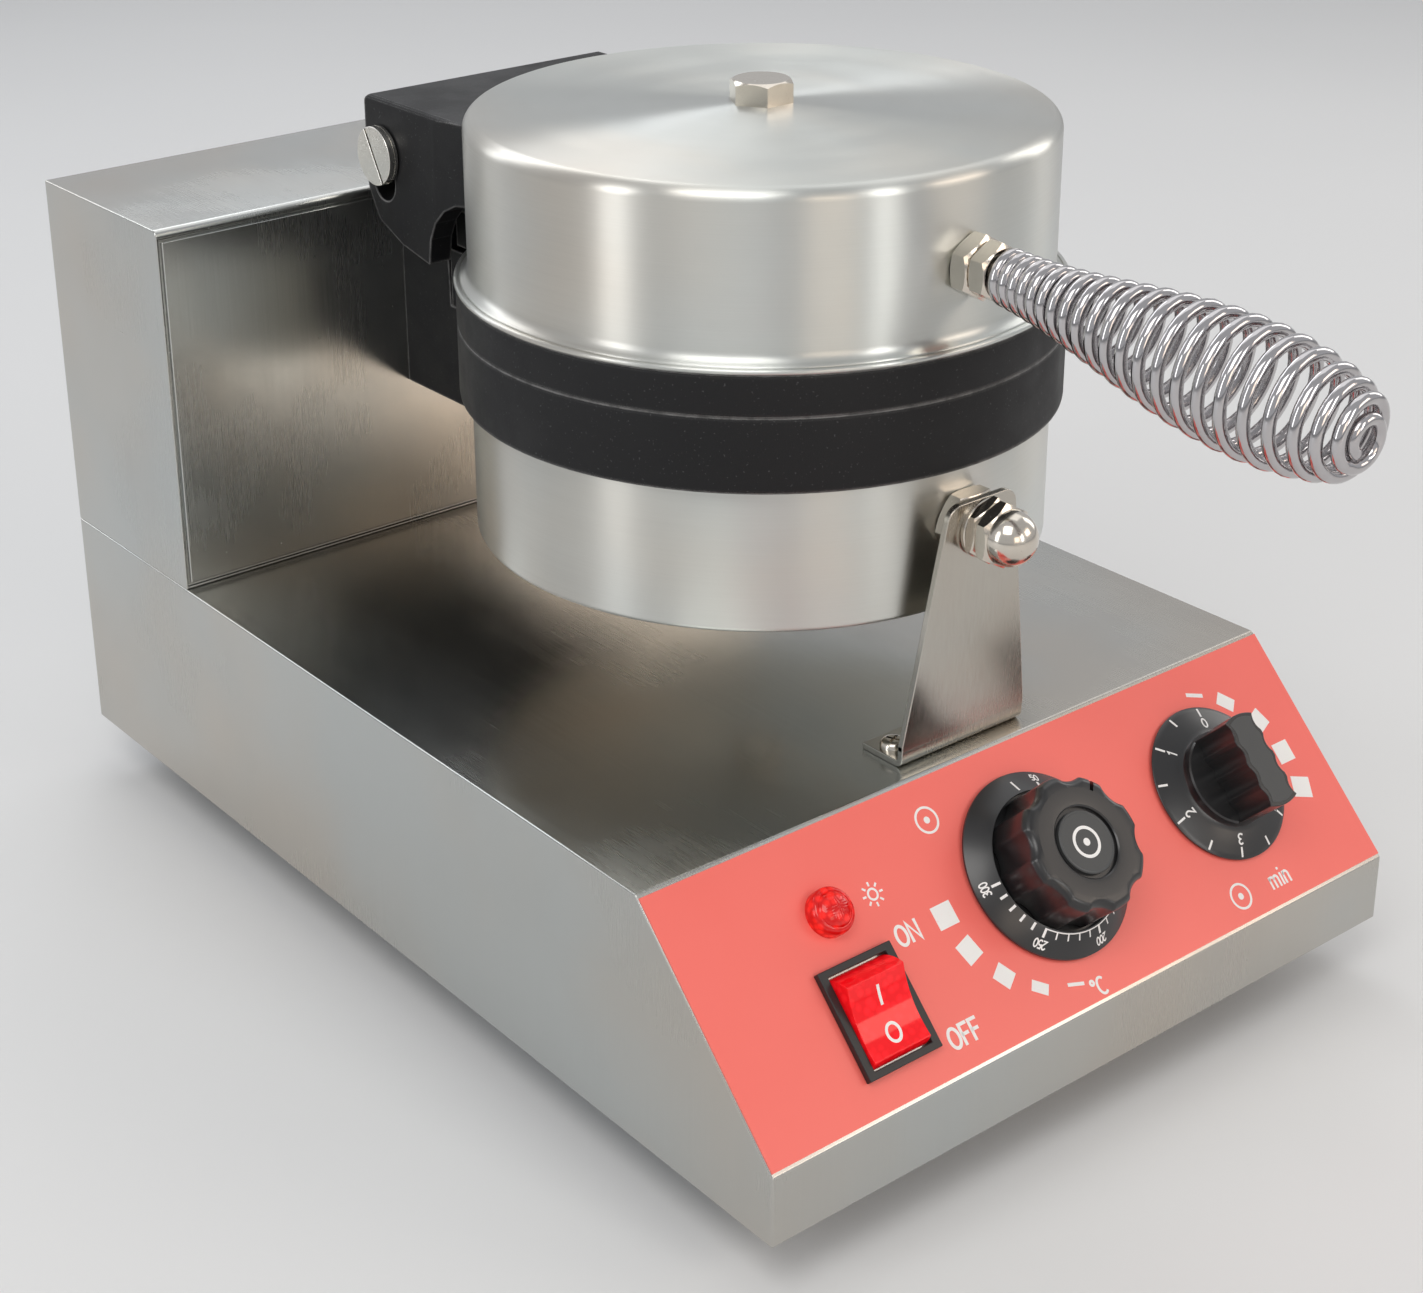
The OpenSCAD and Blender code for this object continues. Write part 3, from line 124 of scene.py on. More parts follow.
class Wire:
    """An output socket that takes part in sums. Each sum adds its Math node."""

    def __init__(self, tree, socket):
        self.tree = tree
        self.socket = socket

    def sum(self, operation, *values):
        """The wire of a new Math node."""
        return self.tree.node("ShaderNodeMath", {"operation": operation}, dict(enumerate(values)))

    def __add__(self, other):
        return self.sum("ADD", self, other)

    def __radd__(self, other):
        return self.sum("ADD", other, self)

    def __sub__(self, other):
        return self.sum("SUBTRACT", self, other)

    def __rsub__(self, other):
        return self.sum("SUBTRACT", other, self)

    def __mul__(self, other):
        return self.sum("MULTIPLY", self, other)

    def __rmul__(self, other):
        return self.sum("MULTIPLY", other, self)

    def __gt__(self, other):
        return self.sum("GREATER_THAN", self, other)

    def __lt__(self, other):
        return self.sum("LESS_THAN", self, other)


class Tree:
    """A node tree, with one way to add a node to it."""

    def __init__(self, owner, shader):
        owner.use_nodes = True
        self.tree = owner.node_tree
        self.shader = self.tree.nodes[shader]

    def node(self, kind, settings=None, sockets=None, out=0):
        """Adds a node: its settings first, then the values or links of its sockets."""
        node = self.tree.nodes.new(kind)
        for name, value in (settings or {}).items():
            setattr(node, name, value)
        for name, value in (sockets or {}).items():
            if isinstance(value, Wire):
                self.tree.links.new(value.socket, node.inputs[name])
            else:
                node.inputs[name].default_value = value
        return Wire(self, node.outputs[out])

    def feed(self, socket, value):
        """Joins a wire to one of the shader's own sockets."""
        self.tree.links.new(value.socket, self.shader.inputs[socket])


class Paint(Tree):
    """A material built round one Principled shader. What is the same all over goes in `finish`."""

    def __init__(self, name, **finish):
        self.material = bpy.data.materials.new(name)
        super().__init__(self.material, "Principled BSDF")
        for socket, value in finish.items():
            self.shader.inputs[socket.replace("_", " ")].default_value = value

    def place(self):
        """Position on the piece, in metres."""
        return self.node("ShaderNodeTexCoord", out="Object")

    def stretched(self, grain, turn=(0, 0, 0)):
        """Position scaled by `grain` along each axis, for streaks."""
        return self.node("ShaderNodeMapping", None,
                         {"Vector": self.place(), "Scale": grain, "Rotation": turn})

    def noise(self, scale, detail, rough=0.55, at=None):
        """Noise from 0 to 1 about a middle of 0.5."""
        return self.node("ShaderNodeTexNoise", None,
                         {"Vector": at or self.place(), "Scale": scale, "Detail": detail, "Roughness": rough})

    def spread(self, value, low, high, start=0.0, end=1.0):
        """`value` from low..high stretched to start..end and held there."""
        return self.node("ShaderNodeMapRange", {"interpolation_type": "SMOOTHSTEP"},
                         {"Value": value, "From Min": low, "From Max": high, "To Min": start, "To Max": end})

    def blend(self, factor, first, second):
        """A colour between two colours."""
        factor_in, first_in, second_in, colour_out = 0, 6, 7, 2
        sockets = {factor_in: factor}
        for number, colour in ((first_in, first), (second_in, second)):
            sockets[number] = colour if isinstance(colour, Wire) else (*colour, 1)
        return self.node("ShaderNodeMix", {"data_type": "RGBA"}, sockets, colour_out)

    def edges(self, radius, low, high):
        """1 at sharp edges and 0 on flats, by how far the bevelled normal leans from the true one."""
        soft = self.node("ShaderNodeBevel", {"samples": 4}, {"Radius": radius})
        true = self.node("ShaderNodeNewGeometry", out="Normal")
        alike = self.node("ShaderNodeVectorMath", {"operation": "DOT_PRODUCT"}, {0: soft, 1: true}, "Value")
        return self.spread(1 - alike, low, high)

    def bump(self, height, strength, distance, rounding=0.0):
        """Feeds a bump of `height` to the shader's normal, over edges that look rounded by a radius."""
        sockets = {"Height": height, "Strength": strength, "Distance": distance}
        if rounding:
            sockets["Normal"] = self.node("ShaderNodeBevel", {"samples": 6}, {"Radius": rounding})
        self.feed("Normal", self.node("ShaderNodeBump", None, sockets))


# ---- materials ----

def satin_steel(name, tint, grain, rough, smudge=0.10, deck=None, strength=0.10, **finish):
    """Stainless sheet with a fine brushed grain, cloudy wiping marks and a few short scratches.
    Level faces take the grain `deck` where one is given."""
    paint = Paint(name, Metallic=1.0, **finish)
    streak = paint.noise(1.0, 2.0, 0.6, paint.stretched(grain))
    if deck:
        normal = paint.node("ShaderNodeNewGeometry", out="Normal")
        tilt = paint.node("ShaderNodeSeparateXYZ", None, {"Vector": normal}, out="Z")
        level_face = tilt * tilt > 0.3
        along = paint.noise(1.0, 2.0, 0.6, paint.stretched(deck))
        streak = streak * (1 - level_face) + along * level_face
    cloud = paint.spread(paint.noise(9.0, 4.0, 0.6), 0.38, 0.70)
    wiped = paint.stretched((30, 7, 18), (0.3, 0.2, 0.9))
    wipe = paint.spread(paint.noise(1.0, 2.0, 0.5, wiped), 0.45, 0.75)
    scored = paint.stretched((700, 30, 700), (0.5, 0.3, 0.7))
    scratch = paint.spread(paint.noise(1.0, 1.0, 0.4, scored), 0.78, 0.82)
    patch = paint.spread(paint.noise(6.0, 3.0, 0.55), 0.36, 0.66)
    cool, warm, handled = [tuple(c * share for c, share in zip(tint, shares)) for shares in
                           ((0.93, 0.98, 1.0), (1.0, 0.945, 0.88), (0.98, 0.92, 0.84))]
    dark = [c * 0.5 for c in tint]
    colour = paint.blend(streak * 0.10 + cloud * 0.10, paint.blend(patch, cool, warm), dark)
    paint.feed("Base Color", paint.blend(wipe * 0.25, colour, handled))
    paint.feed("Roughness", paint.spread(streak, 0.3, 0.7, *rough) + cloud * smudge + scratch * 0.03)
    paint.bump(streak - scratch * 0.15, strength, 0.000005)
    return paint.material


def cast_black(name):
    """Cast iron with a baked-on black non-stick finish: fine speckle, satin, greyer on the arrises, which are
    partly worn finish and partly a painted highlight.
    """
    paint = Paint(name, Metallic=0.0, Specular_IOR_Level=0.28)
    grit = paint.noise(2600.0, 2.0, 0.6)
    patch = paint.noise(45.0, 4.0, 0.6)
    fleck = paint.spread(paint.noise(1400.0, 1.0, 0.5), 0.70, 0.76)
    # Grey, part-metallic arrises: partly worn finish, partly a painted highlight along the edges
    wear = paint.edges(0.0011, 0.01, 0.10) * paint.spread(paint.noise(260.0, 3.0), 0.30, 0.60, 0.5, 1.0)
    colour = paint.blend(patch, (0.0050, 0.0050, 0.0058), (0.0095, 0.0095, 0.0105))
    colour = paint.blend(fleck * 0.55, colour, (0.075, 0.075, 0.078))
    paint.feed("Base Color", paint.blend(wear * 0.8, colour, (0.34, 0.335, 0.33)))
    paint.feed("Metallic", wear * 0.5)
    paint.feed("Roughness", paint.spread(patch, 0.3, 0.7, 0.42, 0.56) + grit * 0.08)
    paint.bump(grit * 0.7 + patch * 0.3, 0.35, 0.00012, 0.0011)
    return paint.material


def moulded(name, colour, rough, grit=0.12, scale=1800.0, **finish):
    """Moulded plastic or rubber with a fine tool texture and a little handling wear."""
    paint = Paint(name, **finish)
    fine = paint.noise(scale, 2.0, 0.5)
    patch = paint.noise(60.0, 4.0, 0.6)
    wear = paint.edges(0.0005, 0.03, 0.2)
    worn = [min(1.0, c * 1.35 + 0.012) for c in colour]
    paint.feed("Base Color", paint.blend(wear * 0.35 + patch * 0.12, colour, worn))
    paint.feed("Roughness", rough + patch * 0.10 + fine * 0.04)
    paint.bump(fine, grit, 0.00006)
    return paint.material


def plated(name, tint, rough, pits=0.08):
    """Nickel, zinc or chrome plate over machined metal: faint turning marks, tiny pits, dull patches."""
    paint = Paint(name, Metallic=1.0)
    marks = paint.noise(900.0, 2.0, 0.5)
    patch = paint.spread(paint.noise(120.0, 4.0, 0.6), 0.4, 0.7)
    pit = paint.spread(paint.noise(1500.0, 1.0, 0.5), 0.68, 0.74)
    paint.feed("Base Color", paint.blend(patch * 0.3 + pit * 0.4, tint, [c * 0.82 for c in tint]))
    paint.feed("Roughness", rough + patch * 0.06 + marks * 0.05 + pit * 0.1)
    paint.bump(marks * 0.4 - pit, pits, 0.00005)
    return paint.material


def red_overlay(name):
    """Printed polyester overlay: coral red, semi-gloss, with a very slight orange-peel."""
    paint = Paint(name, Specular_IOR_Level=0.5, Coat_Weight=0.18, Coat_Roughness=0.18)
    peel = paint.noise(420.0, 2.0, 0.5)
    patch = paint.noise(18.0, 4.0, 0.6)
    paint.feed("Base Color", paint.blend(patch, (0.90, 0.150, 0.120), (0.93, 0.180, 0.150)))
    paint.feed("Roughness", 0.34 + paint.spread(patch, 0.3, 0.7, 0.0, 0.08) + peel * 0.04)
    paint.bump(peel, 0.08, 0.00008)
    return paint.material


def white_print(name):
    """Screen-printed white ink."""
    paint = Paint(name, Specular_IOR_Level=0.4)
    grain = paint.noise(2200.0, 2.0, 0.6)
    thin = paint.spread(paint.noise(700.0, 3.0, 0.6), 0.62, 0.78)
    paint.feed("Base Color", paint.blend(thin * 0.35, (0.88, 0.87, 0.86), (0.88, 0.56, 0.52)))
    paint.feed("Roughness", 0.42 + grain * 0.15)
    paint.bump(grain, 0.15, 0.00003)
    return paint.material


def red_clear(name, colour, deep):
    """Tinted clear plastic over a core whose colour is also emitted a little, a painted glow that lightens
    the red.
    """
    paint = Paint(name, Specular_IOR_Level=0.35, Coat_Weight=0.15, Coat_Roughness=0.05,
                  Emission_Strength=0.30)
    cells = paint.node("ShaderNodeTexVoronoi", None, {"Vector": paint.place(), "Scale": 420.0})
    patch = paint.noise(160.0, 3.0, 0.5)
    core = paint.blend(paint.spread(cells * 0.6 + patch * 0.4, 0.25, 0.6), colour, deep)
    paint.feed("Base Color", core)
    # Painted glow: the core's colour is given off as light
    paint.feed("Emission Color", core)
    paint.feed("Roughness", 0.06 + patch * 0.05)
    paint.bump(patch, 0.12, 0.0001)
    return paint.material


SLOTS = {
    "steel_sheet": satin_steel("satin_sheet", (0.56, 0.55, 0.53), (2600, 2600, 14), rough=(0.19, 0.23),
                               deck=(2600, 14, 2600), strength=0.06),
    "steel_cover": satin_steel("brushed_cover", (0.66, 0.645, 0.61), (22, 22, 2600), rough=(0.30, 0.36),
                               smudge=0.04, Anisotropic=0.90, Anisotropic_Rotation=0.25),
    "steel_bracket": satin_steel("brushed_bracket", (0.53, 0.49, 0.44), (2400, 2400, 16), rough=(0.19, 0.25),
                                 strength=0.05),
    "zinc_sheet": satin_steel("zinc_sheet", (0.50, 0.51, 0.52), (300, 260, 300), rough=(0.34, 0.46),
                              smudge=0.12),
    "zinc_screws": plated("zinc_plate", (0.66, 0.64, 0.58), rough=0.22),
    "bright_fasteners": plated("nickel_plate", (0.66, 0.61, 0.54), rough=0.11),
    "dark_screws": plated("blackened_screws", (0.06, 0.06, 0.065), rough=0.34),
    "turned_steel": plated("turned_steel", (0.80, 0.78, 0.73), rough=0.17),
    "chrome_wire": plated("chrome_wire", (0.52, 0.505, 0.515), rough=0.05, pits=0.03),
    "cast_black": cast_black("cast_black"),
    "panel_overlay": red_overlay("red_overlay"),
    "black_plastic": moulded("black_plastic", (0.012, 0.012, 0.013), rough=0.30),
    "black_knob": moulded("black_knob", (0.012, 0.012, 0.013), rough=0.25, grit=0.05, scale=900.0,
                          Coat_Weight=0.25, Coat_Roughness=0.22),
    "grey_plastic": moulded("grey_plastic", (0.055, 0.057, 0.058), rough=0.42, grit=0.2),
    "red_switch": red_clear("red_switch", (0.90, 0.010, 0.016), (0.74, 0.004, 0.008)),
    "red_lens": red_clear("red_lens", (0.88, 0.022, 0.016), (0.52, 0.004, 0.004)),
    "ceramic": moulded("ceramic", (0.72, 0.70, 0.64), rough=0.30, grit=0.08),
    "rubber": moulded("rubber", (0.014, 0.014, 0.014), rough=0.58, grit=0.3, scale=1200.0),
    "heater_sheath": plated("heater_sheath", (0.36, 0.33, 0.30), rough=0.38, pits=0.2),
}
PRINT = white_print("white_print")


def dress_cad_nodes():
    """Each CAD node takes the material of its slot in the record."""
    for row in frame["record"]["subparts"]:
        node = frame["nodes"][row["node"]]
        node.data.materials.clear()
        node.data.materials.append(SLOTS[row["material_slot"]])


dress_cad_nodes()


# ---- shapes ----

def circle(count):
    """Angles all the way round, in radians."""
    return [math.radians(360 * i / count) for i in range(count)]


def arc(x, y, wide, tall, start, end, steps):
    """Points on an ellipse's arc between two angles in degrees."""
    turns = [math.radians(start + (end - start) * i / steps) for i in range(steps + 1)]
    return [(x + wide * math.cos(t), y + tall * math.sin(t)) for t in turns]


def ring(x, y, radius, steps):
    """Points of a whole circle, the last on the first."""
    return arc(x, y, radius, radius, 0, 360, steps)


def on_panel(x, v, lift=0.0):
    """Frame of a control: x across the panel, y up its slope, z out of it."""
    slope = Matrix.Translation((0, PANEL_Y, LIP_Z)) @ Matrix.Rotation(RAKE, 4, "X")
    return slope @ Matrix.Translation((x, v, lift))


def facing(x, y, z, axis="front"):
    """Frame of a fastener whose own z points up, to the front, or to the left."""
    turn = {"up": Matrix(),
            "front": Matrix.Rotation(math.pi / 2, 4, "X"),
            "left": Matrix.Rotation(-math.pi / 2, 4, "Y")}[axis]
    return Matrix.Translation((x, y, z)) @ turn


def turned_by(degrees):
    """A turn about a frame's own z axis."""
    return Matrix.Rotation(math.radians(degrees), 4, "Z")


def profile_frame(x=0.0, y=0.0, z=0.0):
    """Frame of a profile that is drawn in y and z and runs across in x."""
    return Matrix(((0, 0, 1, x), (1, 0, 0, y), (0, 1, 0, z), (0, 0, 0, 1)))


class Shape:
    """Points and faces of one piece, in millimetres."""

    def __init__(self, place=None):
        self.place = place or Matrix()
        self.points = []
        self.faces = []

    def add(self, points, faces, place=None):
        """Adds points in the frame `place`, and the faces between them."""
        start = len(self.points)
        self.points += [(place or self.place) @ Vector(p) for p in points]
        self.faces += [[start + i for i in face] for face in faces]
        return self

    def turned(self, section, angles, bored=False):
        """A form round its z axis. `section` gives the (r, z) profile at each angle."""
        columns = [[(r * math.cos(a), r * math.sin(a), z) for r, z in section(a)] for a in angles]
        tall, wide = len(columns[0]), len(columns)
        rows = tall if bored else tall - 1
        faces = [[i * tall + j, (i + 1) % wide * tall + j, (i + 1) % wide * tall + (j + 1) % tall,
                  i * tall + (j + 1) % tall] for i in range(wide) for j in range(rows)]
        return self.add([p for column in columns for p in column], faces)

    def lathe(self, profile, steps, bored=False):
        """A turned form with the same (r, z) profile at every angle."""
        return self.turned(lambda angle: profile, circle(steps), bored)

    def prism(self, outline, low, high, place=None):
        """An outline in x and y, solid from z low to high."""
        n = len(outline)
        faces = [list(range(n))[::-1], list(range(n, 2 * n))]
        faces += [[i, (i + 1) % n, n + (i + 1) % n, n + i] for i in range(n)]
        return self.add([(x, y, z) for z in (low, high) for x, y in outline], faces, place)

    def wire(self, path, radius, sides):
        """A round wire along a path, with flat ends."""
        path = [Vector(p) for p in path]
        side = (path[1] - path[0]).orthogonal().normalized()
        points = []
        for i, spot in enumerate(path):
            along = (path[min(i + 1, len(path) - 1)] - path[max(i - 1, 0)]).normalized()
            side = (side - along * side.dot(along)).normalized()
            across = along.cross(side)
            points += [spot + (side * math.cos(a) + across * math.sin(a)) * radius for a in circle(sides)]
        faces = []
        for start in range(0, (len(path) - 1) * sides, sides):
            for j in range(sides):
                after = (j + 1) % sides
                faces.append([start + j, start + after, start + sides + after, start + sides + j])
        last = (len(path) - 1) * sides
        faces += [list(range(sides))[::-1], list(range(last, last + sides))]
        return self.add(points, faces)

    def stroke(self, line, width, lay):
        """A flat printed line through (x, y) points. `lay` puts each point on its surface."""
        line = [Vector(p) for p in line]
        loop = (line[0] - line[-1]).length < 1e-6
        if loop:
            line.pop()
        n = len(line)
        points = []
        for i, spot in enumerate(line):
            before = line[i - 1] if i or loop else spot
            after = line[(i + 1) % n] if i < n - 1 or loop else spot
            into, out = spot - before, after - spot
            into = into.normalized() if into.length else out.normalized()
            out = out.normalized() if out.length else into
            mean = (into + out).normalized()
            reach = width / 2 / max(0.5, mean.dot(out))
            normal = Vector((-mean.y, mean.x)) * reach
            points += [lay(*(spot + normal)), lay(*(spot - normal))]
        faces = [[2 * i, 2 * i + 1, (2 * i + 3) % (2 * n), (2 * i + 2) % (2 * n)]
                 for i in range(n if loop else n - 1)]
        return self.add(points, faces)

    def patch(self, x, v, wide, tall, turn, lay):
        """A filled four-sided print, turned by an angle in radians."""
        cos, sin = math.cos(turn), math.sin(turn)
        square = [(-wide / 2, -tall / 2), (wide / 2, -tall / 2), (wide / 2, tall / 2), (-wide / 2, tall / 2)]
        points = [lay(x + p * cos - q * sin, v + p * sin + q * cos) for p, q in square]
        return self.add(points, [[0, 1, 2, 3]])


def piece(name, shape, finish, body, stands_for=(), **edges):
    """Makes an object of a shape, in a material slot's finish, riding on a body of the machine.
    `edges` is how its edges or its ink are finished."""
    mesh = bpy.data.meshes.new(name)
    mesh.from_pydata([p * MM for p in shape.points], [], shape.faces)
    net = bmesh.new()
    net.from_mesh(mesh)
    bmesh.ops.remove_doubles(net, verts=net.verts, dist=0.002 * MM)
    bmesh.ops.recalc_face_normals(net, faces=net.faces)
    net.to_mesh(mesh)
    net.free()
    finished(name, mesh, finish, body, stands_for, **edges)


def finished(name, mesh, finish, body, stands_for, bevel=0.0, film=0.0, sharp=40, limit=40):
    """Makes an object of a mesh, with its finish, its soft edges or its thickness of ink."""
    if not film:
        mesh.shade_smooth()
        mesh.set_sharp_from_angle(angle=math.radians(sharp))
    mesh.materials.append(PRINT if finish == "print" else SLOTS[finish])
    obj = bpy.data.objects.new(name, mesh)
    bpy.context.scene.collection.objects.link(obj)
    if bevel:
        soften(obj, bevel, limit)
    if film:
        skin = obj.modifiers.new("film", "SOLIDIFY")
        skin.thickness = film * MM
        skin.offset = 0
    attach(obj, body)
    finish != "print"
    if stands_for:
        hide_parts(*stands_for)


def soften(obj, width, limit):
    """Rounds an object's edges that are sharper than the limit."""
    bevel = obj.modifiers.new("soft_edges", "BEVEL")
    bevel.width = width * MM
    bevel.segments = 3
    bevel.limit_method = "ANGLE"
    bevel.angle_limit = math.radians(limit)
    bevel.harden_normals = True
    return bevel


# ---- printed lines, numbers and letters ----

GLYPHS = {
    "0": (0.60, [arc(0.30, 0.5, 0.25, 0.44, 0, 360, 22)]),
    "1": (0.46, [[(0.10, 0.74), (0.30, 0.94), (0.30, 0.05)]]),
    "2": (0.60, [arc(0.30, 0.67, 0.24, 0.27, 165, -38, 10) + [(0.05, 0.05), (0.56, 0.05)]]),
    "3": (0.60, [arc(0.27, 0.72, 0.23, 0.22, 150, -80, 10) + arc(0.27, 0.27, 0.26, 0.22, 75, -150, 10)]),
    "4": (0.62, [[(0.43, 0.05), (0.43, 0.94), (0.04, 0.29), (0.58, 0.29)]]),
    "5": (0.60, [[(0.52, 0.94), (0.13, 0.94), (0.08, 0.54)] + arc(0.28, 0.32, 0.25, 0.27, 125, -145, 11)]),
    "O": (0.76, [arc(0.36, 0.5, 0.29, 0.44, 0, 360, 26)]),
    "N": (0.70, [[(0.07, 0.02), (0.07, 0.94), (0.57, 0.06), (0.57, 0.98)]]),
    "F": (0.58, [[(0.07, 0.0), (0.07, 0.94), (0.52, 0.94)], [(0.07, 0.50), (0.46, 0.50)]]),
    "C": (0.72, [arc(0.37, 0.5, 0.30, 0.44, 48, 312, 20)]),
    "m": (0.82, [[(0.07, 0.0), (0.07, 0.68)], arc(0.22, 0.46, 0.15, 0.17, 180, 0, 8) + [(0.37, 0.0)],
                 arc(0.52, 0.46, 0.15, 0.17, 180, 0, 8) + [(0.67, 0.0)]]),
    "i": (0.24, [[(0.10, 0.0), (0.10, 0.68)], [(0.10, 0.84), (0.10, 0.97)]]),
    "n": (0.54, [[(0.07, 0.0), (0.07, 0.68)], arc(0.23, 0.46, 0.16, 0.17, 180, 0, 8) + [(0.39, 0.0)]]),
    "deg": (0.36, [arc(0.17, 0.82, 0.12, 0.12, 0, 360, 14)]),
}


def write(shape, signs, x, y, height, width, lay):
    """Prints signs in a row centred on (x, y), by strokes of one width."""
    at = -sum(GLYPHS[sign][0] for sign in signs) * height / 2
    for sign in signs:
        advance, lines = GLYPHS[sign]
        for line in lines:
            shape.stroke([(x + at + p * height, y + (q - 0.5) * height) for p, q in line], width, lay)
        at += advance * height


INK_LIFT = 0.02  # middle of the printed ink above its surface


def flat_lay(place, height):
    """Lays print flat in a frame, at a height."""
    return lambda x, y: place @ Vector((x, y, height))


# Rising arcs of squares by the two dials: across and up the panel, then width and height
TEMP_SQUARES = ((-7, 8, 5.6, 1.0), (-18.5, 11.5, 5.4, 3.2), (-27.5, 18.5, 5.8, 5.2),
                (-34, 28.5, 6.4, 6.0), (-36, 39.5, 6.6, 7.0))
TIMER_SQUARES = ((84.5, 66, 6.2, 1.2), (94.5, 60.5, 6.2, 4.2), (103, 51.5, 6.0, 5.2),
                 (105.5, 40, 6.4, 6.4), (105, 28.5, 6.4, 6.8))
# Signs, where their middle is, their height and the width of their strokes
PANEL_SIGNS = (("ON", -49.5, 39.5, 6.0, 0.95), ("OFF", -48.0, 10.0, 6.0, 0.95),
               (("deg", "C"), 0.0, 4.6, 5.2, 0.75), ("min", 79.0, 8.6, 5.6, 0.75))
LAMP_SIGN_AT = (-54, 52.5)
DIAL_SIGNS_AT = ((-26.5, 64.5), (62, 8.5))


def print_panel():
    """The white print on the overlay: rising arcs of squares, the switch's words and plain signs."""
    lay = flat_lay(on_panel(0, 0, OVERLAY_T), INK_LIFT)
    ink = Shape()
    for centre, squares in ((TEMP_AT, TEMP_SQUARES), (TIMER_AT, TIMER_SQUARES)):
        for x, v, wide, tall in squares:
            outward = math.atan2(v - centre[1], x - centre[0])
            ink.patch(x, v, wide, tall, outward - math.pi / 2, lay)
    for signs, x, v, height, width in PANEL_SIGNS:
        write(ink, signs, x, v, height, width, lay)
    x, v = LAMP_SIGN_AT
    ink.stroke(ring(x, v, 1.5, 20), 0.6, lay)
    for a in circle(8):
        ink.stroke([(x + r * math.cos(a), v + r * math.sin(a)) for r in (2.3, 3.5)], 0.6, lay)
    for x, v in DIAL_SIGNS_AT:
        ink.stroke(ring(x, v, 3.6, 32), 0.7, lay)
        ink.stroke(ring(x, v, 0.5, 12), 1.0, lay)
    piece("panel_print", ink, "print", "root", film=0.06)


# ---- dials ----

KNOB_FOOT = 1.1                  # underside of both knobs' skirts
KNOB_TOP = 21.5
TEMP_R = 27.0                    # outer radius of each knob's skirt
TIMER_R = 23.5
# Outer and inner edge of the skirt's cone, r and z
TEMP_SKIRT = ((26.7, 2.25), (20.4, 6.2))
TEMP_GRIP_R = 19.5
HOLLOWS = 8
HOLLOW_R, HOLLOW_AT = 9.0, 26.9  # a hollow's radius, and its centre from the axis
POINTER = math.radians(50)       # where the pointer notch is
NOTCH_R = 15.5                   # the notch runs outwards from here
TEMP_ZERO = 118                  # degrees round to where the scale would read 0
TEMP_OFF = 88                    # degrees round to the mark for off
TIMER_DOME = (70.0, -64.4)       # radius and centre height
TIMER_HUB_R = 14.3
TIMER_ZERO = 74                  # degrees round to 0 minutes
TIMER_STEP = 30                  # degrees for half a minute


def scalloped(angle):
    """Radius of the temperature knob's grip: a circle with hollows."""
    pitch = 2 * math.pi / HOLLOWS
    offset = (angle - POINTER) % pitch - pitch / 2
    cut = HOLLOW_R ** 2 - (HOLLOW_AT * math.sin(offset)) ** 2
    if cut <= 0:
        return TEMP_GRIP_R
    return min(TEMP_GRIP_R, HOLLOW_AT * math.cos(offset) - math.sqrt(cut))


def from_pointer(angle):
    """How far an angle is from the pointer notch."""
    return abs(math.remainder(angle - POINTER, 2 * math.pi))


def grip_section(angle):
    """The grip's profile at an angle, with a rounded rim, a recess and the pointer notch."""
    outline, edge, recess, base = scalloped(angle), 2.6, 10.2, 4.2
    side = [(0, base), (outline - 0.4, base), (outline, base + 0.6)]
    rim = arc(outline - edge, KNOB_TOP - edge, edge, edge, 0, 90, 8)
    start = max((outline - edge + recess) / 2, NOTCH_R + 0.02)
    top = [(start, KNOB_TOP + 0.05), (start - 0.04, KNOB_TOP + 0.05),
           (recess + 1.6, KNOB_TOP + 0.08), (recess + 0.4, KNOB_TOP)]
    well = [(recess, KNOB_TOP - 0.35), (recess, KNOB_TOP - 1.3), (0, KNOB_TOP - 1.3)]
    notched = from_pointer(angle) < math.radians(1.9)
    cut = [(r, min(z, KNOB_TOP - 3.2) if notched and r > NOTCH_R else z) for r, z in rim + top]
    return side + cut + well


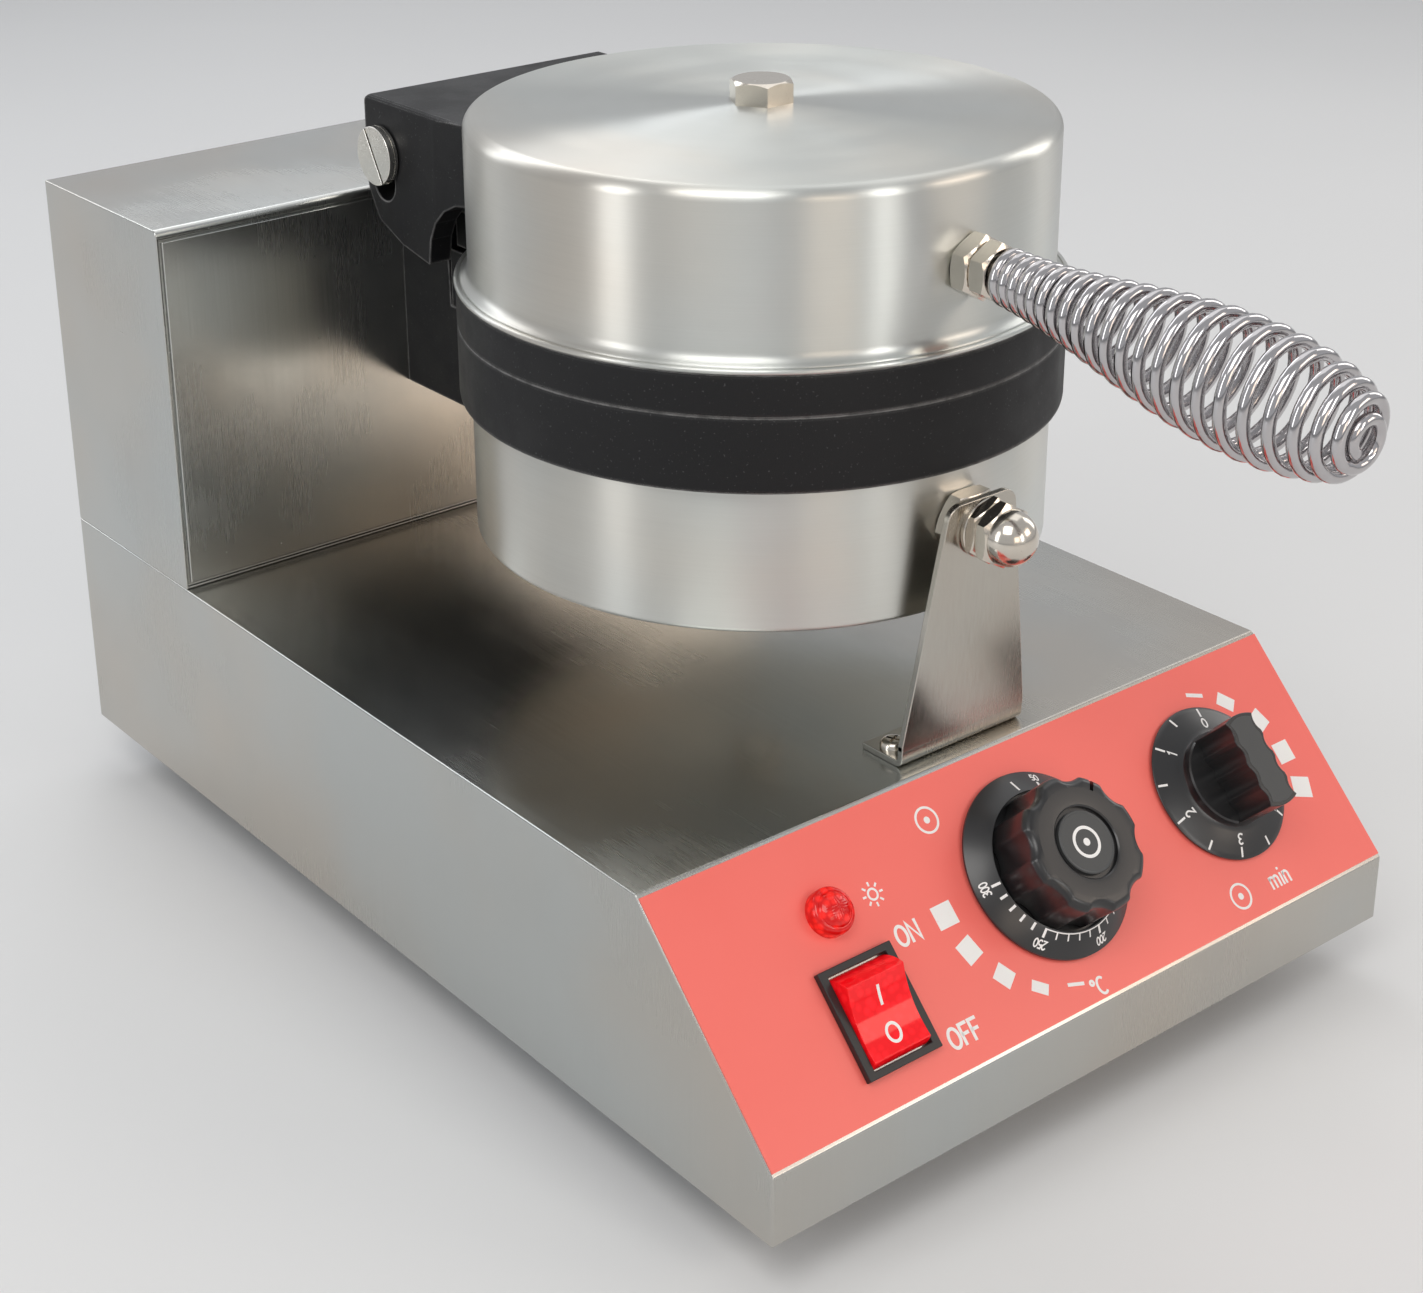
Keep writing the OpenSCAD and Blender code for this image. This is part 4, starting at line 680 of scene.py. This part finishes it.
def temp_knob():
    """Temperature knob: a sloping skirt with its scale, and a scalloped grip above a shadow gap."""
    place = on_panel(*TEMP_AT)
    (low_r, low_z), (high_r, high_z) = TEMP_SKIRT
    skirt = [(0, KNOB_FOOT), (TEMP_R - 0.2, KNOB_FOOT), (TEMP_R, 1.35), (TEMP_R, 2.0), (low_r, low_z),
             (high_r + 0.2, high_z - 0.08), (high_r, high_z), (high_r - 0.2, high_z - 0.1),
             (high_r - 0.25, 4.0), (0, 4.0)]
    # Even angles, and two close pairs where the notch has its steep sides
    angles = [a for a in circle(288) if from_pointer(a) > 0.04]
    angles = sorted(angles + [POINTER + math.radians(d) for d in (-2.06, -1.88, 1.88, 2.06)])
    piece("temp_knob_grip", Shape(place).turned(grip_section, angles), "black_knob", "thermostat_dial",
          sharp=34)
    piece("temp_knob_skirt", Shape(place).lathe(skirt, 128), "black_knob", "thermostat_dial", ["temp_knob"],
          sharp=30)
    low, face = KNOB_TOP - 1.3, KNOB_TOP - 0.2
    disc = [(0, low), (9.0, low), (9.0, face - 0.1), (8.75, face + 0.15), (8.45, face + 0.1),
            (8.2, face - 0.05), (0, face)]
    piece("temp_knob_disc", Shape(place).lathe(disc, 96), "grey_plastic", "thermostat_dial",
          ["temp_knob_insert"], sharp=30)

    def lay(start_r, degrees):
        """Lays print on the skirt's cone, from a radius outwards, at so many degrees round."""
        def on_skirt(x, y):
            """A point x across and y outwards."""
            r = start_r + y
            a = math.radians(degrees) - x / r
            z = high_z + (high_r - r) * (high_z - low_z) / (low_r - high_r)
            return place @ Vector((r * math.cos(a), r * math.sin(a), z + INK_LIFT))
        return on_skirt

    scale = Shape()
    for heat in range(50, 301, 10):
        numbered = heat % 50 == 0
        width = 0.75 if numbered or heat >= 250 else 0.45
        scale.stroke([(0, 0), (0, 2.3 if numbered else 1.9)], width, lay(20.75, TEMP_ZERO - heat))
        if numbered:
            write(scale, str(heat), 0, 4.1, 2.2, 0.38, lay(20.6, TEMP_ZERO - heat))
    scale.stroke([(0, 0), (0, 3.2)], 0.6, lay(21.2, TEMP_OFF))
    line_r, middle = 20.9, -20
    scale.stroke([(-math.radians(t) * line_r, 0) for t in range(-112, 71, 3)], 0.3, lay(line_r, middle))
    piece("temp_scale", scale, "print", "thermostat_dial", film=0.06)

    mark = Shape()
    mark.stroke(ring(0, 0, 4.1, 48), 0.9, flat_lay(place, face))
    mark.stroke(ring(0, 0, 0.55, 16), 1.1, flat_lay(place, face))
    piece("temp_knob_mark", mark, "print", "thermostat_dial", film=0.08)


def timer_knob():
    """Timer knob: a domed skirt with minutes, a round hub, and a bar with finger flutes."""
    place = on_panel(*TIMER_AT)
    radius, centre = TIMER_DOME

    def dome(r):
        """Height of the domed skirt at a radius."""
        return centre + math.sqrt(radius ** 2 - r ** 2)

    skirt = [(0, KNOB_FOOT), (TIMER_R - 0.2, KNOB_FOOT), (TIMER_R, 1.3), (TIMER_R, 1.5),
             (TIMER_R - 0.2, dome(TIMER_R - 0.3) + 0.02)]
    skirt += [(r, dome(r)) for r in (22, 20, 18, 16, 14.9)]
    skirt += [(14.5, dome(14.5) + 0.12), (TIMER_HUB_R, dome(TIMER_HUB_R) + 0.5), (TIMER_HUB_R, 6.6),
              (TIMER_HUB_R - 0.4, 7.1), (0, 7.1)]
    piece("timer_knob_skirt", Shape(place).lathe(skirt, 128), "black_knob", "timer_dial",
          ["timer_knob"], sharp=32)

    half, flute_r, flute_x, flutes_at = 5.8, 4.4, 9.3, (3.45, 10.35)

    def side(v):
        """Half the bar's width at a distance along it: straight, fluted, or round at the hub's edge."""
        near = min(abs(abs(v) - flute_at) for flute_at in flutes_at)
        flute = flute_x - math.sqrt(flute_r ** 2 - near ** 2) if near < flute_r else half
        return min(half, flute, math.sqrt(TIMER_HUB_R ** 2 - v * v))

    reach, steps = math.sqrt(TIMER_HUB_R ** 2 - half ** 2), 76
    corner = math.degrees(math.asin(reach / TIMER_HUB_R))
    right = [(side(v), v) for v in (2 * reach * i / steps - reach for i in range(steps + 1))]
    end = arc(0, 0, TIMER_HUB_R, TIMER_HUB_R, corner, 180 - corner, 10)[1:-1]
    outline = right + end + [(-x, -v) for x, v in right + end]
    piece("timer_knob_bar", Shape(place).prism(outline, 5.6, KNOB_TOP), "black_knob", "timer_dial",
          bevel=0.9, sharp=50, limit=55)
    face = [(x * 0.78, v * 0.93) for x, v in outline]
    piece("timer_bar_face", Shape(place).prism(face, KNOB_TOP - 0.4, KNOB_TOP + 0.12), "grey_plastic",
          "timer_dial", bevel=0.1, sharp=50, limit=55)

    def lay(degrees):
        """Lays print on the dome, upright at so many degrees round."""
        def on_dome(x, y):
            """A point x across, at the radius y."""
            a = math.radians(degrees) - x / y
            return place @ Vector((y * math.cos(a), y * math.sin(a), dome(y) + INK_LIFT))
        return on_dome

    scale = Shape()
    for step in range(11):
        at = lay(TIMER_ZERO + TIMER_STEP * step)
        scale.stroke([(0, 20.1 + i * 0.7) for i in range(5)], 0.65, at)
        if step % 2 == 0:
            write(scale, str(step // 2), 0, 17.9, 3.2, 0.5, at)
    piece("timer_scale", scale, "print", "timer_dial", film=0.06)


# ---- switch and lamp ----

def switch():
    """The rocker, with I on its raised half and O on the pressed one."""
    radius, pivot, half, reach, tilt = 12.8, -2.0, 9.8, 9.9, math.radians(11)

    def face(v):
        """Height of the rocker's hollow face, along its length."""
        return 6 + 1.9 * (v / reach) ** 2

    top = [(v, face(v)) for v in (reach * (1 - i / 8) for i in range(17))]
    outline = arc(0, 0, radius, radius, -13.5, 37.5, 9) + top + arc(0, 0, radius, radius, 142.5, 193.5, 9)
    place = on_panel(*SWITCH_AT, pivot) @ Matrix.Rotation(tilt, 4, "X")
    cap = Shape(place @ profile_frame()).prism(outline, -half, half)
    piece("rocker_cap", cap, "red_switch", "power_rocker", ["rocker"], bevel=0.7, limit=28, sharp=50)

    def lay(x, v):
        """Lays print on the hollow face."""
        return place @ Vector((x, v, face(v) + INK_LIFT))

    ink = Shape()
    ink.stroke([(0, 2.2 + i * 0.9) for i in range(7)], 0.9, lay)
    ink.stroke(arc(0, -5.2, 2.1, 2.4, 0, 360, 30), 0.85, lay)
    piece("rocker_print", ink, "print", "power_rocker", film=0.06)


def lamp():
    """The lamp's lens: a round collar and a pebbled dome."""
    collar = [(0, 0), (6.6, 0), (6.6, 2.6), (6.45, 3.4), (6.0, 4.1), (5.3, 4.5), (5.0, 4.5), (4.95, 4.2),
              (0, 4.2)]
    radius, rows, pebble = 5.0, 14, 0.16

    def dome(angle):
        """The dome's profile at an angle, with pebbles that fade towards its edge."""
        profile = [(0, 3.9)]
        for i in range(rows + 1):
            r = radius * (1 - i / rows)
            x, y = r * math.cos(angle), r * math.sin(angle)
            lift = pebble * math.sin(4.2 * (x + y)) * math.sin(4.2 * (x - y)) * min(1, 3 * i / rows)
            profile.append((r, 4.3 + 2.3 * (1 - (r / radius) ** 2) ** 0.7 + lift))
        return profile

    lens = Shape(on_panel(*LAMP_AT, OVERLAY_T)).lathe(collar, 72).turned(dome, circle(72))
    piece("lamp_dome", lens, "red_lens", "root", ["lamp_lens"], sharp=48)


# ---- covers, grip and fasteners ----

PAN_FRAME = Matrix.Translation((0, PAN_Y, 0))


def cover_profile(low, high, edge, crown):
    """Half section of a spun cover as a closed ring: outside up, over the top, and back inside."""
    sheet, flat, hole = 0.8, 12.0, 3.0

    def skin(inset):
        """One side of the sheet, from its rim to the hole for its bolt."""
        r, top = COVER_R - inset, high - inset
        bend = max(0.3, edge - inset)
        shoulder = arc(r - bend, top - crown - bend, bend, bend, 0, 90, 10)
        return [(r, low)] + shoulder + [(flat, top), (hole, top)]

    return skin(0) + skin(sheet)[::-1]


def covers():
    """The two spun covers. The upper one has a rolled lip with a fine groove, and a soft cove above it."""
    rim, roll, cove_r, wall_foot = LID_LOW.z, 0.8, 3.4, LID_LOW.z + 5.0
    lip = arc(LIP_R - roll, rim + roll, roll, roll, -90, 90, 8)
    groove = [(LIP_R - inward, rim + up) for inward, up in
              ((1.3, 1.55), (1.45, 1.1), (1.75, 1.1), (1.85, 1.55))]
    cove = [p for p in arc(COVER_R + cove_r, wall_foot, cove_r, cove_r, 270, 180, 8) if p[0] < LIP_R - 1.9]
    walls = cover_profile(wall_foot, LID_HIGH.z, 4.0, 1.8)
    upper = lip + groove + cove + walls[1:-1] + [(COVER_R - 0.8, rim)]
    piece("upper_cover_skin", Shape(PAN_FRAME).lathe(upper, 192, bored=True), "steel_cover", "lid",
          ["upper_cover"], sharp=50)
    # The lower cover is drawn upside down, with its rim below its flat
    lower = [(r, -z) for r, z in cover_profile(-PAN_HIGH.z, -PAN_LOW.z, 1.6, 0.0)]
    piece("lower_cover_skin", Shape(PAN_FRAME).lathe(lower, 192, bored=True), "steel_cover", "root",
          ["lower_cover"], sharp=50)


def rims():
    """The rounded rims of the two cast plates, with the fine joint line between them."""
    r, edge, inner_r, play, joint_line = PLATE_HIGH.x + 0.15, 0.9, 85, 0.02, 0.1
    for name, low, high, body in (
            ("lower_rim", PAN_HIGH.z + play, JOINT_Z - play, "root"),
            ("upper_rim", JOINT_Z - play + joint_line, LID_LOW.z - play, "lid")):
        profile = ([(inner_r, high)] + arc(r - edge, high - edge, edge, edge, 90, 0, 5)
                   + arc(r - edge, low + edge, edge, edge, 0, -90, 5) + [(inner_r, low)])
        piece(name, Shape(PAN_FRAME).lathe(profile, 192, bored=True), "cast_black", body, sharp=50)


def hexagon(across_flats, low, high, chamfer_low=True):
    """Profile of a hexagon at each angle, with its corners turned to a cone."""
    def section(angle):
        """The (r, z) profile at an angle."""
        offset = angle % (math.pi / 3) - math.pi / 6
        r, inner = across_flats / 2 / math.cos(offset), across_flats / 2 * 0.95
        drop = (r - inner) * math.tan(math.radians(30))
        return [(0, low), (inner, low), (r, low + drop if chamfer_low else low), (r, high - drop),
                (inner, high), (0, high)]
    return section


def fasteners():
    """Chamfered hexagons on the lid: its bolt, and the two lock nuts behind the grip."""
    head = hexagon(16.5, 0.0, 6.4, chamfer_low=False)
    bolt = Shape(facing(0, PAN_Y, LID_HIGH.z, "up")).turned(head, circle(96))
    piece("lid_bolt_head", bolt, "bright_fasteners", "lid", ["top_bolt"], sharp=24)
    joint, end = 5.9, 11.7
    nuts = Shape(facing(0, NUT_HIGH.y, GRIP_Z) @ turned_by(30))
    nuts.turned(hexagon(15.8, 0.0, joint), circle(96)).turned(hexagon(14.3, joint, end), circle(96))
    piece("grip_lock_nut", nuts, "bright_fasteners", "lid", ["handle_nut"], sharp=24)


def support_leg():
    """The support's foot with a folded edge, and its tapering leg that leans to the front."""
    half, depth, bend, rise, sheet = FOOT_HIGH.x, FOOT_HIGH.y - FOOT_LOW.y, 3.0, 7.0, SUPPORT_SHEET
    foot = ([(depth, 0)] + arc(bend, bend, bend, bend, 270, 180, 6) + [(0, rise), (sheet, rise)]
            + arc(bend, bend, bend - sheet, bend - sheet, 180, 270, 4) + [(depth, sheet)])
    shape = Shape().prism(foot, -half, half, profile_frame(0, FOOT_LOW.y, DECK_Z))
    shoulder, top = 5.0, 68.0
    leg = [(half, 1), (half, 3)] + arc(7.6, top, shoulder, shoulder, 8, 90, 7)
    leg += arc(-8.4, top, shoulder, shoulder, 90, 172, 7) + [(-half, 3), (-half, 1)]
    lean = Matrix.Translation((0, FOOT_LOW.y, KNEE_Z)) @ Matrix.Rotation(math.pi / 2 + LEAN, 4, "X")
    shape.prism(leg, -sheet, 0, lean)
    piece("support_leg", shape, "steel_bracket", "root", ["support_bracket"], bevel=0.3, limit=35)


def foot_screws():
    """Two pan-head screws with crossed slots, on the support's foot."""
    out, back, askew = 18.6, 8.6, 22.9
    profile = [(0, -0.5), (3.8, -0.5), (3.9, 0.9), (3.5, 1.9), (2.8, 2.5), (2.2, 2.6), (2.1, 1.1), (0, 1.1)]
    quarter = [(0.42, 0.42)] + arc(0, 0, 2.16, 2.16, 11.2, 78.8, 6)
    for side, x in (("left", -out), ("right", out)):
        place = facing(x, FOOT_LOW.y + back, DECK_Z + SUPPORT_SHEET, "up") @ turned_by(askew)
        head = Shape(place).lathe(profile, 48)
        for turn in range(4):
            head.prism(quarter, 1.0, 2.6, place @ turned_by(90 * turn))
        piece("foot_screw_" + side, head, "bright_fasteners", "root",
              ["bracket_screws"] if side == "left" else (), sharp=35)


def support_nuts():
    """On the support's stud: a nut behind the leg, and a washer, a thin nut and a cap nut before it."""
    wall_y = PAN_Y - COVER_R
    face_y = FOOT_LOW.y - math.tan(LEAN) * (STUD_Z - KNEE_Z)
    behind = hexagon(19, 0.0, wall_y - face_y - SUPPORT_SHEET)
    back = Shape(facing(0, wall_y, STUD_Z - 1)).turned(behind, circle(96))
    piece("support_back_nut", back, "bright_fasteners", "root", ["bracket_back_nut"], sharp=24)
    place = facing(0, face_y, STUD_Z) @ turned_by(30)
    thick, nut_top, cap_top, width, askew = 1.6, 5.2, 9.4, 16.5, -7
    washer = [(0, 0), (8.2, 0), (8.5, 0.3), (8.5, thick - 0.3), (8.2, thick), (0, thick)]
    nut = Shape(place @ turned_by(askew)).lathe(washer, 72)
    nut.turned(hexagon(width, thick, nut_top), circle(96))
    piece("support_lock_nut", nut, "bright_fasteners", "root", ["bracket_nut"], sharp=24)
    radius, centre = 7.8, 10.2
    dome = [(0, 9.0), (radius, 9.0)] + arc(0, centre, radius, radius, 0, 90, 12)
    cap = Shape(place).turned(hexagon(width, nut_top, cap_top), circle(96)).lathe(dome, 96)
    piece("support_cap_nut", cap, "bright_fasteners", "root", ["cap_nut"], sharp=24)


def pin():
    """The hinge pin: its head is two half discs either side of a narrow slot."""
    radius, slot, head, floor = 9.4, 0.5, 3.4, 1.3
    seat = PIN_LOW.x + head
    length = PIN_HIGH.x - seat
    place = facing(seat, (PIN_LOW.y + PIN_HIGH.y) / 2, (PIN_LOW.z + PIN_HIGH.z) / 2, "left")
    shank = [(0, -length), (5.6, -length), (5.95, 0.4 - length), (5.95, 0), (9.1, 0), (radius, 0.3),
             (radius, floor), (0, floor)]
    piece("pin_shank", Shape(place).lathe(shank, 96), "turned_steel", "root", ["hinge_pin"], sharp=30)
    start = math.degrees(math.asin(slot / radius))
    cheek = arc(0, 0, radius, radius, start, 180 - start, 48)
    halves = Shape(place @ turned_by(30)).prism(cheek, floor - 0.1, head)
    halves.prism([(-x, -y) for x, y in cheek], floor - 0.1, head)
    piece("pin_head", halves, "turned_steel", "root", bevel=0.22)


def smooth(x):
    """A soft step from 0 to 1."""
    x = min(1, max(0, x))
    return x * x * (3 - 2 * x)


def grip_radius(share):
    """Outer radius of the grip at a share of its length: from the neck to the swell, and in to the tip."""
    neck, swell, tip, widest = 7.8, 17, 8.8, 0.72
    if share < widest:
        return neck + (swell - neck) * math.sin(math.pi / 2 * share / widest) ** 2
    inward = math.cos(math.pi / 2 * (share - widest) / (1 - widest))
    return tip + (swell - tip) * math.sqrt(max(0, inward))


def grip():
    """The coiled wire grip: close turns at the nut, open ones over the swell, and a closed tip."""
    turns, steps, wire_r, first, last, start = 21.5, 40, 1.7, 2.8, 115.2, math.radians(51)
    # The pitch opens from the neck to the swell, and closes a little at the tip
    pitches = [3.4 + 3.3 * smooth((i / steps - 1.5) / 12.5) - 2.6 * smooth((i / steps - turns + 3.5) / 3)
               for i in range(int(turns * steps))]
    stretch = (last - first) / sum(pitches)
    path, along = [], first
    for i, pitch in enumerate(pitches + [0]):
        a, r = start + 2 * math.pi * i / steps, grip_radius(along / last) - wire_r
        path.append((r * math.cos(a), r * math.sin(a), along))
        along += pitch * stretch
    # The last turn closes inwards in the plane of the end
    close_steps, inward = 36, 3.5
    for i in range(1, close_steps + 1):
        share = i / close_steps
        a, r = start + 2 * math.pi * (turns + share), grip_radius(1) - wire_r - inward * share
        path.append((r * math.cos(a), r * math.sin(a), last))
    place = Matrix.Translation((0, GRIP_START_Y, GRIP_Z)) @ Matrix.Rotation(math.pi / 2 + GRIP_DROOP, 4, "X")
    piece("wire_grip", Shape(place).wire(path, wire_r, 16), "chrome_wire", "lid", ["handle_spring"], sharp=60)


print_panel()
temp_knob()
timer_knob()
switch()
lamp()
covers()
rims()
fasteners()
support_leg()
foot_screws()
support_nuts()
pin()
grip()


# ---- folded sheet ----

def folded_box(name, outline, half, recesses, stands_for, bevel):
    """A sheet housing: an outline in y and z across the machine, with recesses let into its flat sides.
    A recess is (the way its side faces, margin, depth)."""
    mesh = bpy.data.meshes.new(name)
    net = bmesh.new()
    ends = [[net.verts.new((x * MM, y * MM, z * MM)) for y, z in outline] for x in (-half, half)]
    net.faces.new(ends[0])
    net.faces.new(ends[1][::-1])
    n = len(outline)
    for i in range(n):
        net.faces.new((ends[0][i], ends[1][i], ends[1][(i + 1) % n], ends[0][(i + 1) % n]))
    bmesh.ops.recalc_face_normals(net, faces=net.faces)
    for way, margin, depth in recesses:
        side = max(net.faces, key=lambda face: face.normal.dot(Vector(way)) * face.calc_area())
        bmesh.ops.inset_region(net, faces=[side], thickness=margin * MM)
        bmesh.ops.inset_region(net, faces=[side], thickness=0.02 * MM)
        for corner in side.verts:
            corner.co -= Vector(way) * depth * MM
    net.to_mesh(mesh)
    net.free()
    finished(name, mesh, "steel_sheet", "root", stands_for, bevel, limit=35)


def housings():
    """The cabinet and the tower in folded sheet, with the tower's front sheet let in and a seam below it."""
    deck_y = PANEL_Y + (DECK_Z - LIP_Z) / math.tan(RAKE)
    cabinet = [(REAR_Y, CABINET_LOW.z), (REAR_Y, DECK_Z), (deck_y, DECK_Z), (PANEL_Y, LIP_Z),
               (PANEL_Y, CABINET_LOW.z)]
    folded_box("cabinet_skin", cabinet, HALF_W, [((0, 0, -1), 1.5, 1.3)], ["cabinet_shell"], 0.9)
    fold, seam, depth, sunk, margin = 2.0, 0.1, 0.9, 0.05, 2.0
    top = arc(TOWER_Y + fold, TOWER_TOP - fold, fold, fold, 90, 180, 6)
    tower = [(REAR_Y, DECK_Z + seam), (REAR_Y, TOWER_TOP)] + top + [(TOWER_Y, DECK_Z + seam)]
    recesses = [((0, -1, 0), 1.3, depth), ((0, 1, 0), 1.5, 1.3)]
    folded_box("tower_skin", tower, HALF_W, recesses, ["tower_shell"], 0.5)
    sheet = Shape(facing(0, TOWER_Y, 0))
    x, low, high = HALF_W - margin, DECK_Z + margin, TOWER_TOP - fold - 1.9
    sheet.prism([(-x, low), (x, low), (x, high), (-x, high)], -depth - sunk, -sunk)
    piece("tower_front_sheet", sheet, "steel_sheet", "root", bevel=0.4)


def soften_nodes():
    """Small real radii on two CAD nodes that are seen as they are."""
    for name, width in (("switch_body", 0.3), ("hinge_pin_nut", 0.4)):
        node = frame["nodes"][name]
        weld = node.modifiers.new("weld", "WELD")
        weld.merge_threshold = 0.01 * MM
        soften(node, width, 30).use_clamp_overlap = False


housings()
soften_nodes()


# ---- studio ----

def studio_floor():
    """A wide pale floor, its size in metres."""
    half = 6
    mesh = bpy.data.meshes.new("floor")
    square = [(-half, -half, 0), (half, -half, 0), (half, half, 0), (-half, half, 0)]
    mesh.from_pydata(square, [], [(0, 1, 2, 3)])
    floor = bpy.data.objects.new("floor", mesh)
    bpy.context.scene.collection.objects.link(floor)
    paint = Paint("floor", Specular_IOR_Level=0.25)
    cloud = paint.noise(2.5, 3.0, 0.5)
    paint.feed("Base Color", paint.blend(cloud, (0.74, 0.745, 0.75), (0.78, 0.785, 0.79)))
    paint.feed("Roughness", 0.55 + cloud * 0.1)
    mesh.materials.append(paint.material)


def studio_sky():
    """A plain sky. Camera, glossy and transmission rays see a paler one than lights the machine."""
    world = bpy.data.worlds.new("studio")
    bpy.context.scene.world = world
    sky = Tree(world, "Background")
    sky.shader.inputs["Color"].default_value = (0.84, 0.85, 0.87, 1)
    seen, mirrored, through = [sky.node("ShaderNodeLightPath", out=f"Is {ray} Ray")
                               for ray in ("Camera", "Glossy", "Transmission")]
    lighting, paler = 0.40, 0.26
    sky.feed("Strength", lighting + (seen + mirrored + through) * paler)


# Each lamp: where it stands, the height it aims at over the origin, its size in metres, watts and colour
LAMPS = {
    "key": ((-0.9, -0.6, 1.5), 0.15, (0.9, 0.9), 10, (1.0, 0.98, 0.95)),
    "overhead": ((0.75, 0.5, 1.6), 0.2, (1.4, 1.3), 4.5, (1.0, 0.99, 0.98)),
    "warm_right": ((1.1, -1.42, 0.90), 0.15, (0.8, 0.6), 4, (1.0, 0.84, 0.70)),
    "back": ((0.3, 1.4, 1.4), 0.15, (1.2, 0.6), 5, (0.95, 0.97, 1.0)),
    "left_strip": ((-1.4, 0.1, 0.62), 0.18, (0.30, 0.9), 3.2, (0.98, 0.99, 1.0)),
    "front_strip": ((0.15, -1.5, 0.75), 0.18, (0.26, 0.9), 3.6, (1.0, 0.97, 0.93)),
    "warm_strip": ((-0.42, -1.5, 0.55), 0.18, (0.5, 0.5), 1.6, (1.0, 0.80, 0.62)),
    "right_strip": ((1.4, -0.1, 0.7), 0.18, (0.4, 0.9), 2.6, (1.0, 0.97, 0.93)),
    "rear_left_strip": ((-0.5, 1.3, 0.8), 0.18, (0.3, 0.9), 2.2, (0.95, 0.97, 1.0)),
}


def studio_lamps():
    """Soft rectangular lamps, out of the camera's sight."""
    for name, (at, aim, size, watts, colour) in LAMPS.items():
        light = bpy.data.lights.new(name, "AREA")
        light.shape = "RECTANGLE"
        light.size, light.size_y = size
        light.energy = watts
        light.color = colour
        holder = bpy.data.objects.new(name, light)
        holder.location = at
        holder.rotation_euler = (Vector((0, 0, aim)) - Vector(at)).to_track_quat("-Z", "Y").to_euler()
        holder.visible_camera = False
        bpy.context.scene.collection.objects.link(holder)


studio_floor()
studio_sky()
studio_lamps()
bpy.context.scene.view_settings.view_transform = "Standard"
